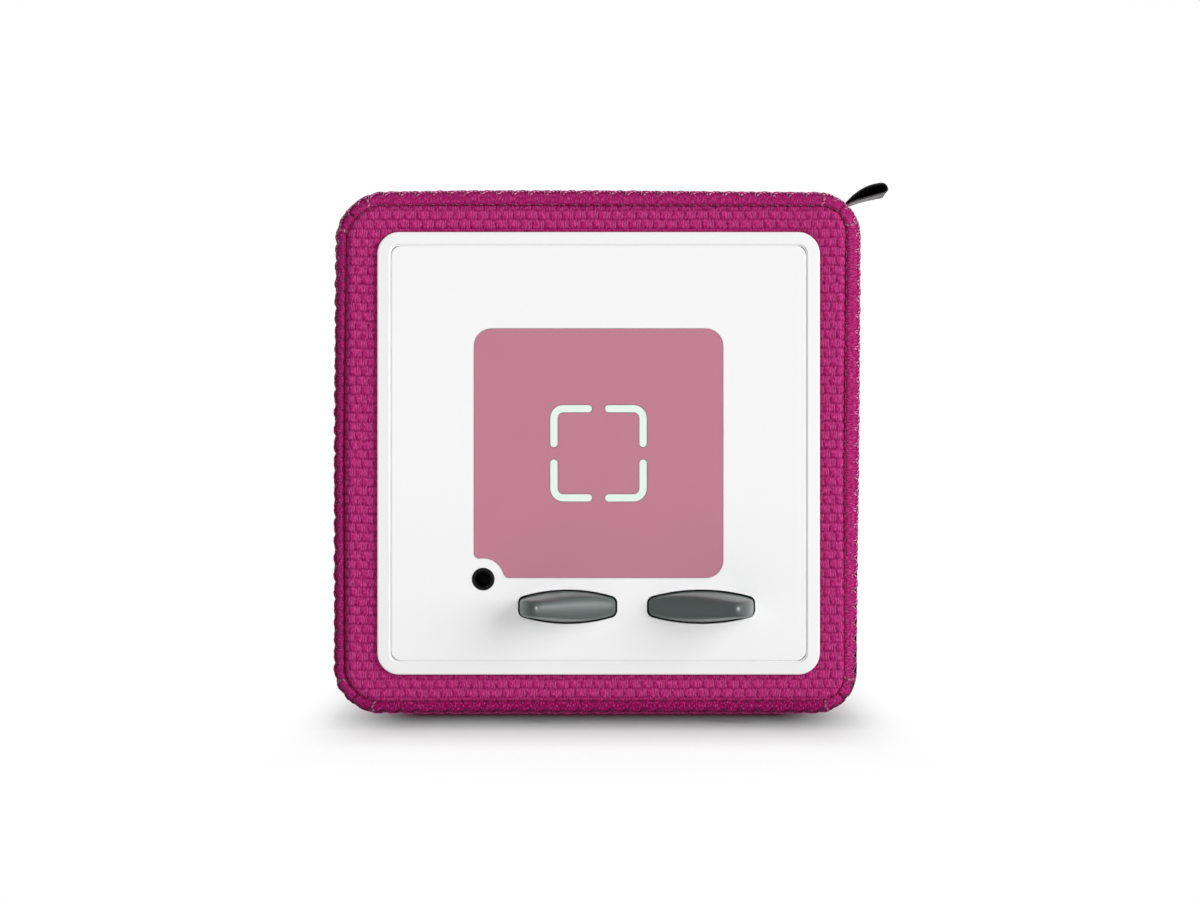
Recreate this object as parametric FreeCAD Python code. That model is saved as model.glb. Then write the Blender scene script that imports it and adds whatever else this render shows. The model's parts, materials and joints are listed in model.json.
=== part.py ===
import FreeCAD, Part
import math
import os

# Audio story player: a padded fabric cube with a control panel in its front.
# X runs to the right, Y to the back and Z up. The origin is the middle of the
# lower side, which the player stands on. All sizes are in millimetres.

# ---------------------------------------------------------------- cube and cover
cube_width = 120.0
cube_height = 120.0
cube_depth = 120.0
cube_corner_radius = 10.0
least_corner_radius = 0.6
cover_thickness = 1.5
seam_gap = 0.1
layer_gap = 0.15
roll_width = 3.4
roll_depth = 5.0
roll_radius = 3.0
foam_thickness = 4.0

# ---------------------------------------------------------------- ribbon tag
tag_root_angle = 45.0
tag_rise_angle = 24.0
tag_length = 10.2
tag_width = 12.0
tag_ribbon = 0.5
tag_root_half = 0.6
tag_upper_bulge = 1.7
tag_lower_bulge = 1.2
tag_from_front = 9.0

# ---------------------------------------------------------------- control panel
bezel_side = 101.0
bezel_corner_radius = 5.0
bezel_proud = 2.0
bezel_edge_radius = 1.2
bezel_sleeve_wall = 1.2
plate_side = 94.6
plate_corner_radius = 2.2
plate_gap = 0.35
plate_sunk = 0.15
plate_thickness = 2.0
plate_edge_radius = 0.3
pad_side = 56.8
pad_corner_radius = 4.0
pad_pocket_depth = 0.8
pad_sunk = 0.08
pad_gap = 0.1
pad_notch_radius = 4.8
pad_notch_edge_radius = 1.2
bracket_side = 22.0
bracket_stroke = 1.67
bracket_corner_radius = 3.0
bracket_gap_x = 3.0
bracket_gap_z = 2.8
guide_clearance = 0.1
guide_base_side = 26.0
guide_base_thickness = 1.2
guide_base_lift = 1.8
guide_pin_radius = 1.0

# ---------------------------------------------------------------- headphone jack
jack_x = -26.3
jack_z = -28.7
jack_ring_radius = 2.5
jack_bore_radius = 1.8
jack_bore_length = 14.0
jack_proud = 0.2
jack_ring_length = 6.6
jack_ring_edge = 0.3
jack_body_side = 6.4
jack_gap = 0.1

# ---------------------------------------------------------------- ears
ear_small_x = -7.05
ear_large_x = 23.4
ear_z = -35.0
ear_small_length = 22.7
ear_large_length = 24.7
ear_slot_width = 7.9
ear_slot_end_width = 4.2
ear_knee_radius = 1.7
ear_gap = 0.4
ear_small_height = 12.0
ear_large_height = 13.5
ear_inner_end_height = 1.2
ear_outer_lean = 2.0
ear_peak_run = 3.6
ear_peak_drop = 2.4
ear_crest_width = 3.8
ear_soft_edge_radius = 1.2
ear_soft_edge_from = 1.0
ear_flange_overhang = 1.2
ear_flange_thickness = 1.2
ear_travel = 1.2
ear_rest_gap = 0.05
ear_stop_gap = 0.4
ear_post_radius = 1.5
ear_post_spacing = 14.0
ear_post_gap = 0.06
ear_stem_radius = 2.2
ear_stem_gap = 0.3

# ---------------------------------------------------------------- ear guide plate
guide_plate_thickness = 1.6
guide_plate_height = 18.0
guide_plate_margin = 2.6
guide_boss_radius = 2.1
guide_boss_inset = 2.6
dome_height = 2.4
dome_wall = 0.5
dome_top_radius = 2.6
dome_base_radius = 4.2
dome_rim_radius = 5.6
dome_rim_thickness = 0.5

# ---------------------------------------------------------------- panel carrier
carrier_thickness = 2.0
carrier_screw_spacing = 87.0
carrier_boss_radius = 4.0
carrier_boss_length = 12.0
carrier_rib_thickness = 1.6
magnet_radius = 4.0
magnet_thickness = 3.0
magnet_spacing = 34.0
magnet_gap = 0.1
magnet_cup_wall = 1.1
magnet_cup_height = 3.2

# ---------------------------------------------------------------- control board
board_width = 76.0
board_height = 88.0
board_thickness = 1.6
board_corner_radius = 2.0
board_front_depth = 8.85
board_post_radius = 2.3
board_post_x = 34.5
board_post_low_z = -19.0
board_post_high_z = 39.5
lamp_side = 2.0
lamp_height = 1.0
coil_side = 48.0
coil_band = 4.0
coil_thickness = 0.3

# ---------------------------------------------------------------- core box
core_wall = 2.4
core_rear_gap = 0.15

# ---------------------------------------------------------------- back plate
back_plate_side = 92.0
back_plate_corner_radius = 6.0
back_plate_proud = 1.5
back_plate_edge_radius = 0.8
back_spigot_side = 86.0
back_screw_x = 14.0
back_screw_z = 36.0
back_boss_radius = 3.5
back_boss_length = 9.0
foot_spacing = 72.0
foot_radius = 6.0
foot_recess = 0.6
foot_proud = 1.2
foot_edge_bevel = 0.5
foot_gap = 0.15

# ---------------------------------------------------------------- main board
main_board_width = 70.0
main_board_length = 64.0
main_board_drop = 42.8
main_board_post_radius = 2.5
main_board_post_inset = 5.0
main_board_wall_gap = 1.5
shield_side = 24.0
shield_height = 2.6
usb_width = 8.94
usb_height = 3.26
usb_length = 7.4
usb_corner_radius = 1.55
usb_wall = 0.3
usb_socket_depth = 6.0
usb_tongue_width = 6.7
usb_tongue_height = 0.7
usb_gap = 0.3
usb_sunk = 0.3

# ---------------------------------------------------------------- battery
cell_radius = 9.2
cell_length = 65.0
cell_gap = 0.4
cell_end_gap = 0.3
cell_edge_bevel = 0.8
battery_rise = 4.0
tray_floor = 2.0
tray_cheek = 2.0
tray_saddle_rise = 6.0
tray_screw_spacing = 42.0

# ---------------------------------------------------------------- speaker
speaker_y = 4.0
speaker_flange_side = 54.0
speaker_flange_thickness = 1.4
speaker_flange_corner_radius = 4.0
speaker_screw_spacing = 46.0
speaker_gasket_thickness = 1.0
speaker_opening_radius = 22.5
speaker_basket_depth = 13.0
speaker_basket_wall = 1.2
speaker_basket_foot_radius = 13.0
speaker_magnet_radius = 15.0
speaker_magnet_thickness = 10.0
speaker_magnet_bevel = 0.8
cone_outer_radius = 18.5
cone_neck_radius = 6.5
cone_depth = 7.0
cone_wall = 0.6
surround_wall = 0.5
surround_gap = 0.1
surround_steps = 6
grille_slot_width = 2.2
grille_slot_pitch = 4.6
grille_radius = 20.0
foam_speaker_hole_radius = 22.0

# ---------------------------------------------------------------- screws
small_screw_shank_radius = 0.9
small_screw_head_radius = 1.8
small_screw_head_height = 1.1
large_screw_shank_radius = 1.4
large_screw_head_radius = 2.7
large_screw_head_height = 1.8
screw_length = 6.0
large_screw_length = 8.0
screw_drive_radius_share = 0.5
screw_drive_depth = 0.6
screw_gap = 0.05
screw_pass_gap = 0.3
pilot_tip_gap = 0.5

# ---------------------------------------------------------------- places worked out
front_y = -cube_depth / 2.0
back_y = cube_depth / 2.0
mid_z = cube_height / 2.0
bezel_front_y = front_y - bezel_proud
plate_front_y = bezel_front_y + plate_sunk
plate_back_y = plate_front_y + plate_thickness
cover_front_inner_y = front_y + cover_thickness
carrier_front_y = cover_front_inner_y + layer_gap
carrier_back_y = carrier_front_y + carrier_thickness
board_front_y = carrier_back_y + board_front_depth
board_back_y = board_front_y + board_thickness
core_back_y = back_y - cover_thickness - core_rear_gap
core_back_inner_y = core_back_y - core_wall
back_plate_back_y = back_y + back_plate_proud
bezel_window = plate_side + 2.0 * plate_gap
bezel_sleeve_side = bezel_window + 2.0 * bezel_sleeve_wall
foam_inset = cover_thickness + layer_gap
core_inset = foam_inset + foam_thickness + layer_gap
core_inner_inset = core_inset + core_wall
core_floor_z = core_inner_inset
core_ceiling_z = cube_height - core_inner_inset
panel_jack_z = mid_z + jack_z
panel_ear_z = mid_z + ear_z
battery_z = mid_z + battery_rise

to_back = FreeCAD.Vector(0, 1, 0)
to_front = FreeCAD.Vector(0, -1, 0)
upward = FreeCAD.Vector(0, 0, 1)
downward = FreeCAD.Vector(0, 0, -1)


# ---------------------------------------------------------------- small helpers
def edges_along(shape, direction):
    """Straight edges of a shape that run along a direction."""
    found = []
    for edge in shape.Edges:
        if isinstance(edge.Curve, Part.Line) and edge.Curve.Direction.cross(direction).Length < 1e-6:
            found.append(edge)
    return found


def edges_at_y(shape, y):
    """Edges that lie wholly in the plane at depth y."""
    return [edge for edge in shape.Edges
            if abs(edge.BoundBox.YMin - y) < 1e-4 and abs(edge.BoundBox.YMax - y) < 1e-4]


def rounded_block(width, height, radius, y_from, y_to, x=0.0, z=mid_z):
    """Block seen as a rounded rectangle from the front, centred at x, z."""
    corner = FreeCAD.Vector(x - width / 2.0, y_from, z - height / 2.0)
    block = Part.makeBox(width, y_to - y_from, height, corner)
    return block.makeFillet(radius, edges_along(block, to_back))


def layer(inset, y_from, y_to):
    """Block that follows the cube's outline, set in by the inset."""
    radius = max(cube_corner_radius - inset, least_corner_radius)
    return rounded_block(cube_width - 2.0 * inset, cube_height - 2.0 * inset, radius, y_from, y_to)


def rod_y(radius, x, z, y_from, y_to):
    """Round rod along Y."""
    return Part.makeCylinder(radius, y_to - y_from, FreeCAD.Vector(x, y_from, z), to_back)


def rod_z(radius, x, y, z_from, z_to):
    """Round rod along Z."""
    return Part.makeCylinder(radius, z_to - z_from, FreeCAD.Vector(x, y, z_from), upward)


def corners(spacing_x, spacing_z, x=0.0, z=mid_z):
    """Four points at the corners of a rectangle, as (x, z) pairs."""
    return [(x + side * spacing_x / 2.0, z + rise * spacing_z / 2.0)
            for side in (-1, 1) for rise in (-1, 1)]


def fuse_all(shapes):
    """One solid out of several that touch."""
    joined = shapes[0]
    for shape in shapes[1:]:
        joined = joined.fuse(shape)
    return joined.removeSplitter()


def cut_all(shape, tools):
    """A shape with each tool taken out of it."""
    for tool in tools:
        shape = shape.cut(tool)
    return shape


def write_node(name, shape):
    """Write one sub-part."""
    shape.exportStep(os.path.join("parts", name + ".step"))


def screw(shank_radius, head_radius, head_height, length):
    """Pan-head screw along -Z, with its head standing on the plane z = 0."""
    head = Part.makeCylinder(head_radius, head_height)
    shank = Part.makeCylinder(shank_radius, length, FreeCAD.Vector(0, 0, -length), upward)
    drive_radius = head_radius * screw_drive_radius_share
    drive_points = []
    for corner in range(7):
        angle = math.radians(60.0 * corner)
        drive_points.append(FreeCAD.Vector(drive_radius * math.cos(angle), drive_radius * math.sin(angle),
                                           head_height - screw_drive_depth))
    drive = Part.Face(Part.makePolygon(drive_points)).extrude(FreeCAD.Vector(0, 0, screw_drive_depth))
    return head.fuse(shank).cut(drive)


def small_screw():
    """Screw that holds boards, guide plate and speaker."""
    return screw(small_screw_shank_radius, small_screw_head_radius, small_screw_head_height, screw_length)


def large_screw():
    """Screw that holds the carrier and the back plate."""
    return screw(large_screw_shank_radius, large_screw_head_radius, large_screw_head_height,
                 large_screw_length)


def placed(shape, head_direction, point):
    """Copy of a screw turned so that its head faces head_direction, moved to a point."""
    copy = shape.copy()
    turn = FreeCAD.Rotation(upward, head_direction)
    copy.Placement = FreeCAD.Placement(point, turn)
    return copy


def lens_wire(length, width, end_width, y, x, z):
    """Lens outline with short straight ends, in the plane at depth y."""
    half = length / 2.0
    left_low = FreeCAD.Vector(x - half, y, z - end_width / 2.0)
    left_high = FreeCAD.Vector(x - half, y, z + end_width / 2.0)
    right_low = FreeCAD.Vector(x + half, y, z - end_width / 2.0)
    right_high = FreeCAD.Vector(x + half, y, z + end_width / 2.0)
    crown = FreeCAD.Vector(x, y, z + width / 2.0)
    keel = FreeCAD.Vector(x, y, z - width / 2.0)
    edges = [
        Part.Arc(left_high, crown, right_high).toShape(),
        Part.LineSegment(right_high, right_low).toShape(),
        Part.Arc(right_low, keel, left_low).toShape(),
        Part.LineSegment(left_low, left_high).toShape(),
    ]
    return Part.Wire(edges)


def lens_block(length, grow, y_from, y_to, x):
    """Lens-shaped block with rounded knees; grow widens it all round."""
    wire = lens_wire(length + 2.0 * grow, ear_slot_width + 2.0 * grow,
                     ear_slot_end_width + 2.0 * grow, y_from, x, panel_ear_z)
    block = Part.Face(wire).extrude(FreeCAD.Vector(0, y_to - y_from, 0))
    return block.makeFillet(ear_knee_radius + grow, edges_along(block, to_back))


def revolve_z(points, x, y, z):
    """Solid of revolution about a vertical axis, from (radius, height) points."""
    path = [FreeCAD.Vector(radius, 0, height) for radius, height in points]
    face = Part.Face(Part.makePolygon(path + path[:1]))
    solid = face.revolve(FreeCAD.Vector(0, 0, 0), upward, 360.0)
    solid.translate(FreeCAD.Vector(x, y, z))
    return solid


# ---------------------------------------------------------------- fabric cover
def make_cover_sides():
    """Side band of the cover: four sides in one tube between the two edge rolls."""
    y_from = front_y + roll_depth + seam_gap
    y_to = back_y - roll_depth - seam_gap
    return layer(0.0, y_from, y_to).cut(layer(cover_thickness, y_from, y_to))


def make_cover_border(y_outer, y_inner, window_side, window_radius):
    """Flat fabric frame of the front or back, inside the edge roll."""
    y_from = min(y_outer, y_inner)
    y_to = max(y_outer, y_inner)
    frame = layer(roll_width + seam_gap, y_from, y_to)
    return frame.cut(rounded_block(window_side, window_side, window_radius, y_from, y_to))


def make_edge_roll_front():
    """Rolled edge round the front: a rounded angle that wraps border and side band."""
    y_inner = front_y + roll_depth
    body = layer(0.0, front_y, y_inner)
    body = body.makeFillet(roll_radius, edges_at_y(body, front_y))
    body = body.cut(layer(cover_thickness, front_y + cover_thickness, y_inner))
    return body.cut(layer(roll_width, front_y, front_y + cover_thickness))


def make_edge_roll_back():
    """Rolled edge round the back, the front roll mirrored."""
    return make_edge_roll_front().mirror(FreeCAD.Vector(0, 0, 0), to_back)


def make_foam_jacket():
    """Padding round the four sides of the core, open in front of the speaker."""
    y_from = carrier_front_y
    y_to = core_back_y
    jacket = layer(foam_inset, y_from, y_to).cut(layer(core_inset - layer_gap, y_from, y_to))
    hole = rod_z(foam_speaker_hole_radius, 0.0, speaker_y, core_ceiling_z, cube_height)
    return jacket.cut(hole)


def make_tag_loop():
    """Folded ribbon sewn into the upper right corner seam, a flat loop in section."""
    root_angle = math.radians(tag_root_angle)
    rise = math.radians(tag_rise_angle)
    reach = cube_corner_radius + layer_gap + tag_root_half
    root_x = cube_width / 2.0 - cube_corner_radius + reach * math.cos(root_angle)
    root_z = cube_height - cube_corner_radius + reach * math.sin(root_angle)
    y_from = front_y + tag_from_front

    def at(along, across):
        return FreeCAD.Vector(root_x + along * math.cos(rise) - across * math.sin(rise), y_from,
                              root_z + along * math.sin(rise) + across * math.cos(rise))

    fold = tag_length - tag_ribbon
    middle = tag_length / 2.0
    outer = Part.Wire([
        Part.Arc(at(0, tag_root_half), at(middle, tag_upper_bulge), at(fold, tag_ribbon)).toShape(),
        Part.Arc(at(fold, tag_ribbon), at(tag_length, 0), at(fold, -tag_ribbon)).toShape(),
        Part.Arc(at(fold, -tag_ribbon), at(middle, -tag_lower_bulge), at(0, -tag_root_half)).toShape(),
        Part.LineSegment(at(0, -tag_root_half), at(0, tag_root_half)).toShape(),
    ])
    eye_start = 2.0 * tag_root_half
    eye_end = fold - tag_ribbon
    inner = Part.Wire([
        Part.Arc(at(eye_start, 0), at(middle, tag_upper_bulge - tag_ribbon), at(eye_end, 0)).toShape(),
        Part.Arc(at(eye_end, 0), at(middle, tag_ribbon - tag_lower_bulge), at(eye_start, 0)).toShape(),
    ])
    width = FreeCAD.Vector(0, tag_width, 0)
    return Part.Face(outer).extrude(width).cut(Part.Face(inner).extrude(width))


# ---------------------------------------------------------------- control panel
def make_front_bezel():
    """Raised frame that clamps the fabric's edge: a lip over it and a sleeve through it."""
    lip = rounded_block(bezel_side, bezel_side, bezel_corner_radius, bezel_front_y, front_y)
    lip = lip.makeFillet(bezel_edge_radius, edges_at_y(lip, bezel_front_y))
    sleeve_radius = plate_corner_radius + plate_gap + bezel_sleeve_wall
    sleeve = rounded_block(bezel_sleeve_side, bezel_sleeve_side, sleeve_radius, front_y, carrier_front_y)
    window = rounded_block(bezel_window, bezel_window, plate_corner_radius + plate_gap,
                           bezel_front_y, carrier_front_y)
    return lip.fuse(sleeve).cut(window)


def pad_block(grow, y_from, y_to):
    """Square with three round corners, its fourth notched round the jack."""
    side = pad_side + 2.0 * grow
    corner = FreeCAD.Vector(-side / 2.0, y_from, mid_z - side / 2.0)
    block = Part.makeBox(side, y_to - y_from, side, corner)
    rounded = []
    for edge in edges_along(block, to_back):
        centre = edge.CenterOfMass
        if centre.x > 0 or centre.z > mid_z:
            rounded.append(edge)
    block = block.makeFillet(pad_corner_radius + grow, rounded)
    notch_radius = pad_notch_radius - grow
    block = block.cut(rod_y(notch_radius, jack_x, panel_jack_z, y_from, y_to))
    lips = []
    for edge in edges_along(block, to_back):
        centre = edge.CenterOfMass
        from_jack = math.hypot(centre.x - jack_x, centre.z - panel_jack_z)
        if abs(from_jack - notch_radius) < 1e-3:
            lips.append(edge)
    return block.makeFillet(pad_notch_edge_radius + grow, lips)


def bracket_block(side_x, side_z, grow, y_from, y_to):
    """One corner bracket with round ends, in the quarter given by the two signs."""
    outer = bracket_side / 2.0 + grow
    inner = bracket_side / 2.0 - bracket_stroke - grow
    cap = bracket_stroke / 2.0 + grow
    middle = (outer + inner) / 2.0
    end_x = bracket_gap_x / 2.0 + bracket_stroke / 2.0
    end_z = bracket_gap_z / 2.0 + bracket_stroke / 2.0
    outer_radius = bracket_corner_radius + grow
    inner_radius = bracket_corner_radius - bracket_stroke - grow
    bend = math.sqrt(0.5)

    def at(x, z):
        return FreeCAD.Vector(side_x * x, y_from, mid_z + side_z * z)

    outer_bend = outer - outer_radius + outer_radius * bend
    inner_bend = inner - inner_radius + inner_radius * bend
    wire = Part.Wire([
        Part.LineSegment(at(end_x, outer), at(outer - outer_radius, outer)).toShape(),
        Part.Arc(at(outer - outer_radius, outer), at(outer_bend, outer_bend),
                 at(outer, outer - outer_radius)).toShape(),
        Part.LineSegment(at(outer, outer - outer_radius), at(outer, end_z)).toShape(),
        Part.Arc(at(outer, end_z), at(middle, end_z - cap), at(inner, end_z)).toShape(),
        Part.LineSegment(at(inner, end_z), at(inner, inner - inner_radius)).toShape(),
        Part.Arc(at(inner, inner - inner_radius), at(inner_bend, inner_bend),
                 at(inner - inner_radius, inner)).toShape(),
        Part.LineSegment(at(inner - inner_radius, inner), at(end_x, inner)).toShape(),
        Part.Arc(at(end_x, inner), at(end_x - cap, middle), at(end_x, outer)).toShape(),
    ])
    return Part.Face(wire).extrude(FreeCAD.Vector(0, y_to - y_from, 0))


def bracket_blocks(grow, y_from, y_to):
    """All four corner brackets."""
    return [bracket_block(side_x, side_z, grow, y_from, y_to)
            for side_x in (-1, 1) for side_z in (-1, 1)]


def make_face_plate():
    """Plate with the pad's pocket, bracket windows, jack hole and two ear slots."""
    plate = rounded_block(plate_side, plate_side, plate_corner_radius, plate_front_y, plate_back_y)
    plate = plate.makeFillet(plate_edge_radius, edges_at_y(plate, plate_front_y))
    tools = [pad_block(pad_gap, plate_front_y, plate_front_y + pad_pocket_depth)]
    tools += bracket_blocks(guide_clearance, plate_front_y, plate_back_y)
    tools.append(rod_y(jack_ring_radius + jack_gap, jack_x, panel_jack_z, plate_front_y, plate_back_y))
    tools.append(lens_block(ear_small_length, 0.0, plate_front_y, plate_back_y, ear_small_x))
    tools.append(lens_block(ear_large_length, 0.0, plate_front_y, plate_back_y, ear_large_x))
    return cut_all(plate, tools)


def make_landing_pad():
    """Inlay that a figure is set on, with windows for the four brackets."""
    y_from = plate_front_y + pad_sunk
    y_to = plate_front_y + pad_pocket_depth
    return cut_all(pad_block(0.0, y_from, y_to), bracket_blocks(guide_clearance, y_from, y_to))


def make_light_guide():
    """Clear moulding: four bracket blades on a square base that stands on the board."""
    base_back_y = board_front_y - guide_base_lift
    base_front_y = base_back_y - guide_base_thickness
    hole_side = bracket_side - 4.0 * bracket_stroke
    base = rounded_block(guide_base_side, guide_base_side, bracket_corner_radius, base_front_y, base_back_y)
    base = base.cut(rounded_block(hole_side, hole_side, bracket_stroke, base_front_y, base_back_y))
    pieces = [base]
    pieces += bracket_blocks(0.0, plate_front_y + pad_sunk, base_front_y)
    pin_spacing = guide_base_side - 4.0 * guide_pin_radius
    for x, z in corners(pin_spacing, pin_spacing):
        pieces.append(rod_y(guide_pin_radius, x, z, base_back_y, board_front_y))
    return fuse_all(pieces)


def make_jack_socket():
    """Headphone socket: black ring flush with the plate, body standing on the board."""
    front = plate_front_y - jack_proud
    shoulder = front + jack_ring_length
    ring = rod_y(jack_ring_radius, jack_x, panel_jack_z, front, shoulder)
    ring = ring.makeFillet(jack_ring_edge, edges_at_y(ring, front))
    body = Part.makeBox(jack_body_side, board_front_y - shoulder, jack_body_side,
                        FreeCAD.Vector(jack_x - jack_body_side / 2.0, shoulder,
                                       panel_jack_z - jack_body_side / 2.0))
    bore = rod_y(jack_bore_radius, jack_x, panel_jack_z, front, front + jack_bore_length)
    return ring.fuse(body).cut(bore)


# ---------------------------------------------------------------- ears
def ear_side_profile(length, height, x, outward):
    """Fin seen from below, as a face across Z: steep outer end, round peak, long slope."""
    half = length / 2.0 - ear_gap
    low = panel_ear_z - ear_slot_width
    base_y = carrier_back_y
    plate_y = plate_front_y

    def at(from_outer_end, rise):
        return FreeCAD.Vector(x + outward * (half - from_outer_end), plate_y - rise, low)

    outer_base = FreeCAD.Vector(x + outward * half, base_y, low)
    inner_base = FreeCAD.Vector(x - outward * half, base_y, low)
    shoulder = at(ear_outer_lean, height - ear_peak_drop)
    peak = at(ear_outer_lean + ear_peak_run / 3.0, height - ear_peak_drop / 5.0)
    brow = at(ear_outer_lean + ear_peak_run, height - ear_peak_drop / 8.0)
    inner_end = at(2.0 * half, ear_inner_end_height)
    edges = [
        Part.LineSegment(outer_base, at(0.0, 0.0)).toShape(),
        Part.LineSegment(at(0.0, 0.0), shoulder).toShape(),
        Part.Arc(shoulder, peak, brow).toShape(),
        Part.LineSegment(brow, inner_end).toShape(),
        Part.LineSegment(inner_end, inner_base).toShape(),
        Part.LineSegment(inner_base, outer_base).toShape(),
    ]
    return Part.Face(Part.Wire(edges))


def ear_wedge(length, height, x):
    """Wedge along X that gives the fin its sloping flanks."""
    half = length / 2.0
    root = ear_slot_width / 2.0 - ear_gap
    crest = ear_crest_width / 2.0
    outline = []
    for y, z in ((carrier_back_y, -root), (plate_front_y, -root), (plate_front_y - height, -crest),
                 (plate_front_y - height, crest), (plate_front_y, root), (carrier_back_y, root)):
        outline.append(FreeCAD.Vector(x - half, y, panel_ear_z + z))
    face = Part.Face(Part.makePolygon(outline + outline[:1]))
    return face.extrude(FreeCAD.Vector(length, 0, 0))


def ear_soft_edges(fin):
    """Edges round the faces that make the fin's top line, above the sharp root."""
    lowest_y = plate_front_y - ear_soft_edge_from
    found = []
    for face in fin.Faces:
        normal = face.normalAt(0.5, 0.5)
        if abs(normal.z) < 1e-3 and abs(normal.x) < 0.999:
            found += [edge for edge in face.Edges if edge.BoundBox.YMax < lowest_y]
    edges = []
    for edge in found:
        if not any(edge.isSame(other) for other in edges):
            edges.append(edge)
    return edges


def make_ear(length, height, x, outward):
    """Ear-shaped key: fin, retaining flange, two guide posts and a stem over the dome."""
    flange_front_y = carrier_back_y + ear_rest_gap
    flange_back_y = flange_front_y + ear_flange_thickness
    lens = lens_block(length, -ear_gap, plate_front_y - height, flange_front_y, x)
    profile = ear_side_profile(length, height, x, outward)
    fin = lens.common(profile.extrude(FreeCAD.Vector(0, 0, 2.0 * ear_slot_width)))
    fin = fin.common(ear_wedge(length, height, x)).removeSplitter()
    fin = fin.makeFillet(ear_soft_edge_radius, ear_soft_edges(fin))
    flange = lens_block(length, ear_flange_overhang - ear_gap, flange_front_y, flange_back_y, x)
    neck = lens_block(length, -ear_gap, carrier_back_y, flange_back_y, x)
    post_end_y = guide_plate_back_y() + ear_travel
    stem_end_y = board_front_y - dome_height
    pieces = [fin, neck, flange]
    for side in (-1, 1):
        pieces.append(rod_y(ear_post_radius, x + side * ear_post_spacing / 2.0, panel_ear_z,
                            flange_back_y, post_end_y))
    pieces.append(rod_y(ear_stem_radius, x, panel_ear_z, flange_back_y, stem_end_y))
    return fuse_all(pieces)


def guide_plate_front_y():
    """Front face of the guide plate, behind the flanges at full travel."""
    return carrier_back_y + ear_rest_gap + ear_flange_thickness + ear_travel + ear_stop_gap


def guide_plate_back_y():
    """Back face of the guide plate."""
    return guide_plate_front_y() + guide_plate_thickness


def guide_plate_span():
    """Left and right end of the guide plate."""
    left = ear_small_x - ear_small_length / 2.0 - guide_plate_margin
    right = ear_large_x + ear_large_length / 2.0 + guide_plate_margin
    return left, right


def guide_screw_places():
    """Places of the guide plate's four screws, as (x, z) pairs."""
    left, right = guide_plate_span()
    spacing_x = right - left - 2.0 * guide_boss_inset
    spacing_z = guide_plate_height - 2.0 * guide_boss_inset
    return corners(spacing_x, spacing_z, (left + right) / 2.0, panel_ear_z)


def make_ear_guide_plate():
    """Plate behind the ears whose holes guide their posts."""
    left, right = guide_plate_span()
    plate = rounded_block(right - left, guide_plate_height, guide_boss_inset, guide_plate_front_y(),
                          guide_plate_back_y(), (left + right) / 2.0, panel_ear_z)
    tools = []
    for x in (ear_small_x, ear_large_x):
        for side in (-1, 1):
            tools.append(rod_y(ear_post_radius + ear_post_gap, x + side * ear_post_spacing / 2.0,
                               panel_ear_z, guide_plate_front_y(), guide_plate_back_y()))
        tools.append(rod_y(ear_stem_radius + ear_stem_gap, x, panel_ear_z, guide_plate_front_y(),
                           guide_plate_back_y()))
    for x, z in guide_screw_places():
        tools.append(rod_y(small_screw_shank_radius + screw_gap, x, z, guide_plate_front_y(),
                           guide_plate_back_y()))
    return cut_all(plate, tools)


def make_ear_dome(x):
    """Silicone dome that the ear presses: a rim on the board and a thin-walled cap."""
    rim = dome_rim_thickness
    outer = [(0, dome_height), (dome_top_radius, dome_height), (dome_base_radius, rim),
             (dome_rim_radius, rim), (dome_rim_radius, 0), (dome_base_radius - dome_wall, 0),
             (dome_top_radius - dome_wall, dome_height - 2.0 * dome_wall), (0, dome_height - 2.0 * dome_wall)]
    dome = revolve_z(outer, 0, 0, 0)
    return placed(dome, to_front, FreeCAD.Vector(x, board_front_y, panel_ear_z))


# ---------------------------------------------------------------- carrier and boards
def carrier_screw_places():
    """Places of the screws that hold the carrier to the core."""
    return corners(carrier_screw_spacing, carrier_screw_spacing)


def board_post_places():
    """Places of the posts that carry the control board."""
    return [(side * board_post_x, mid_z + z) for side in (-1, 1)
            for z in (board_post_low_z, board_post_high_z)]


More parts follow.
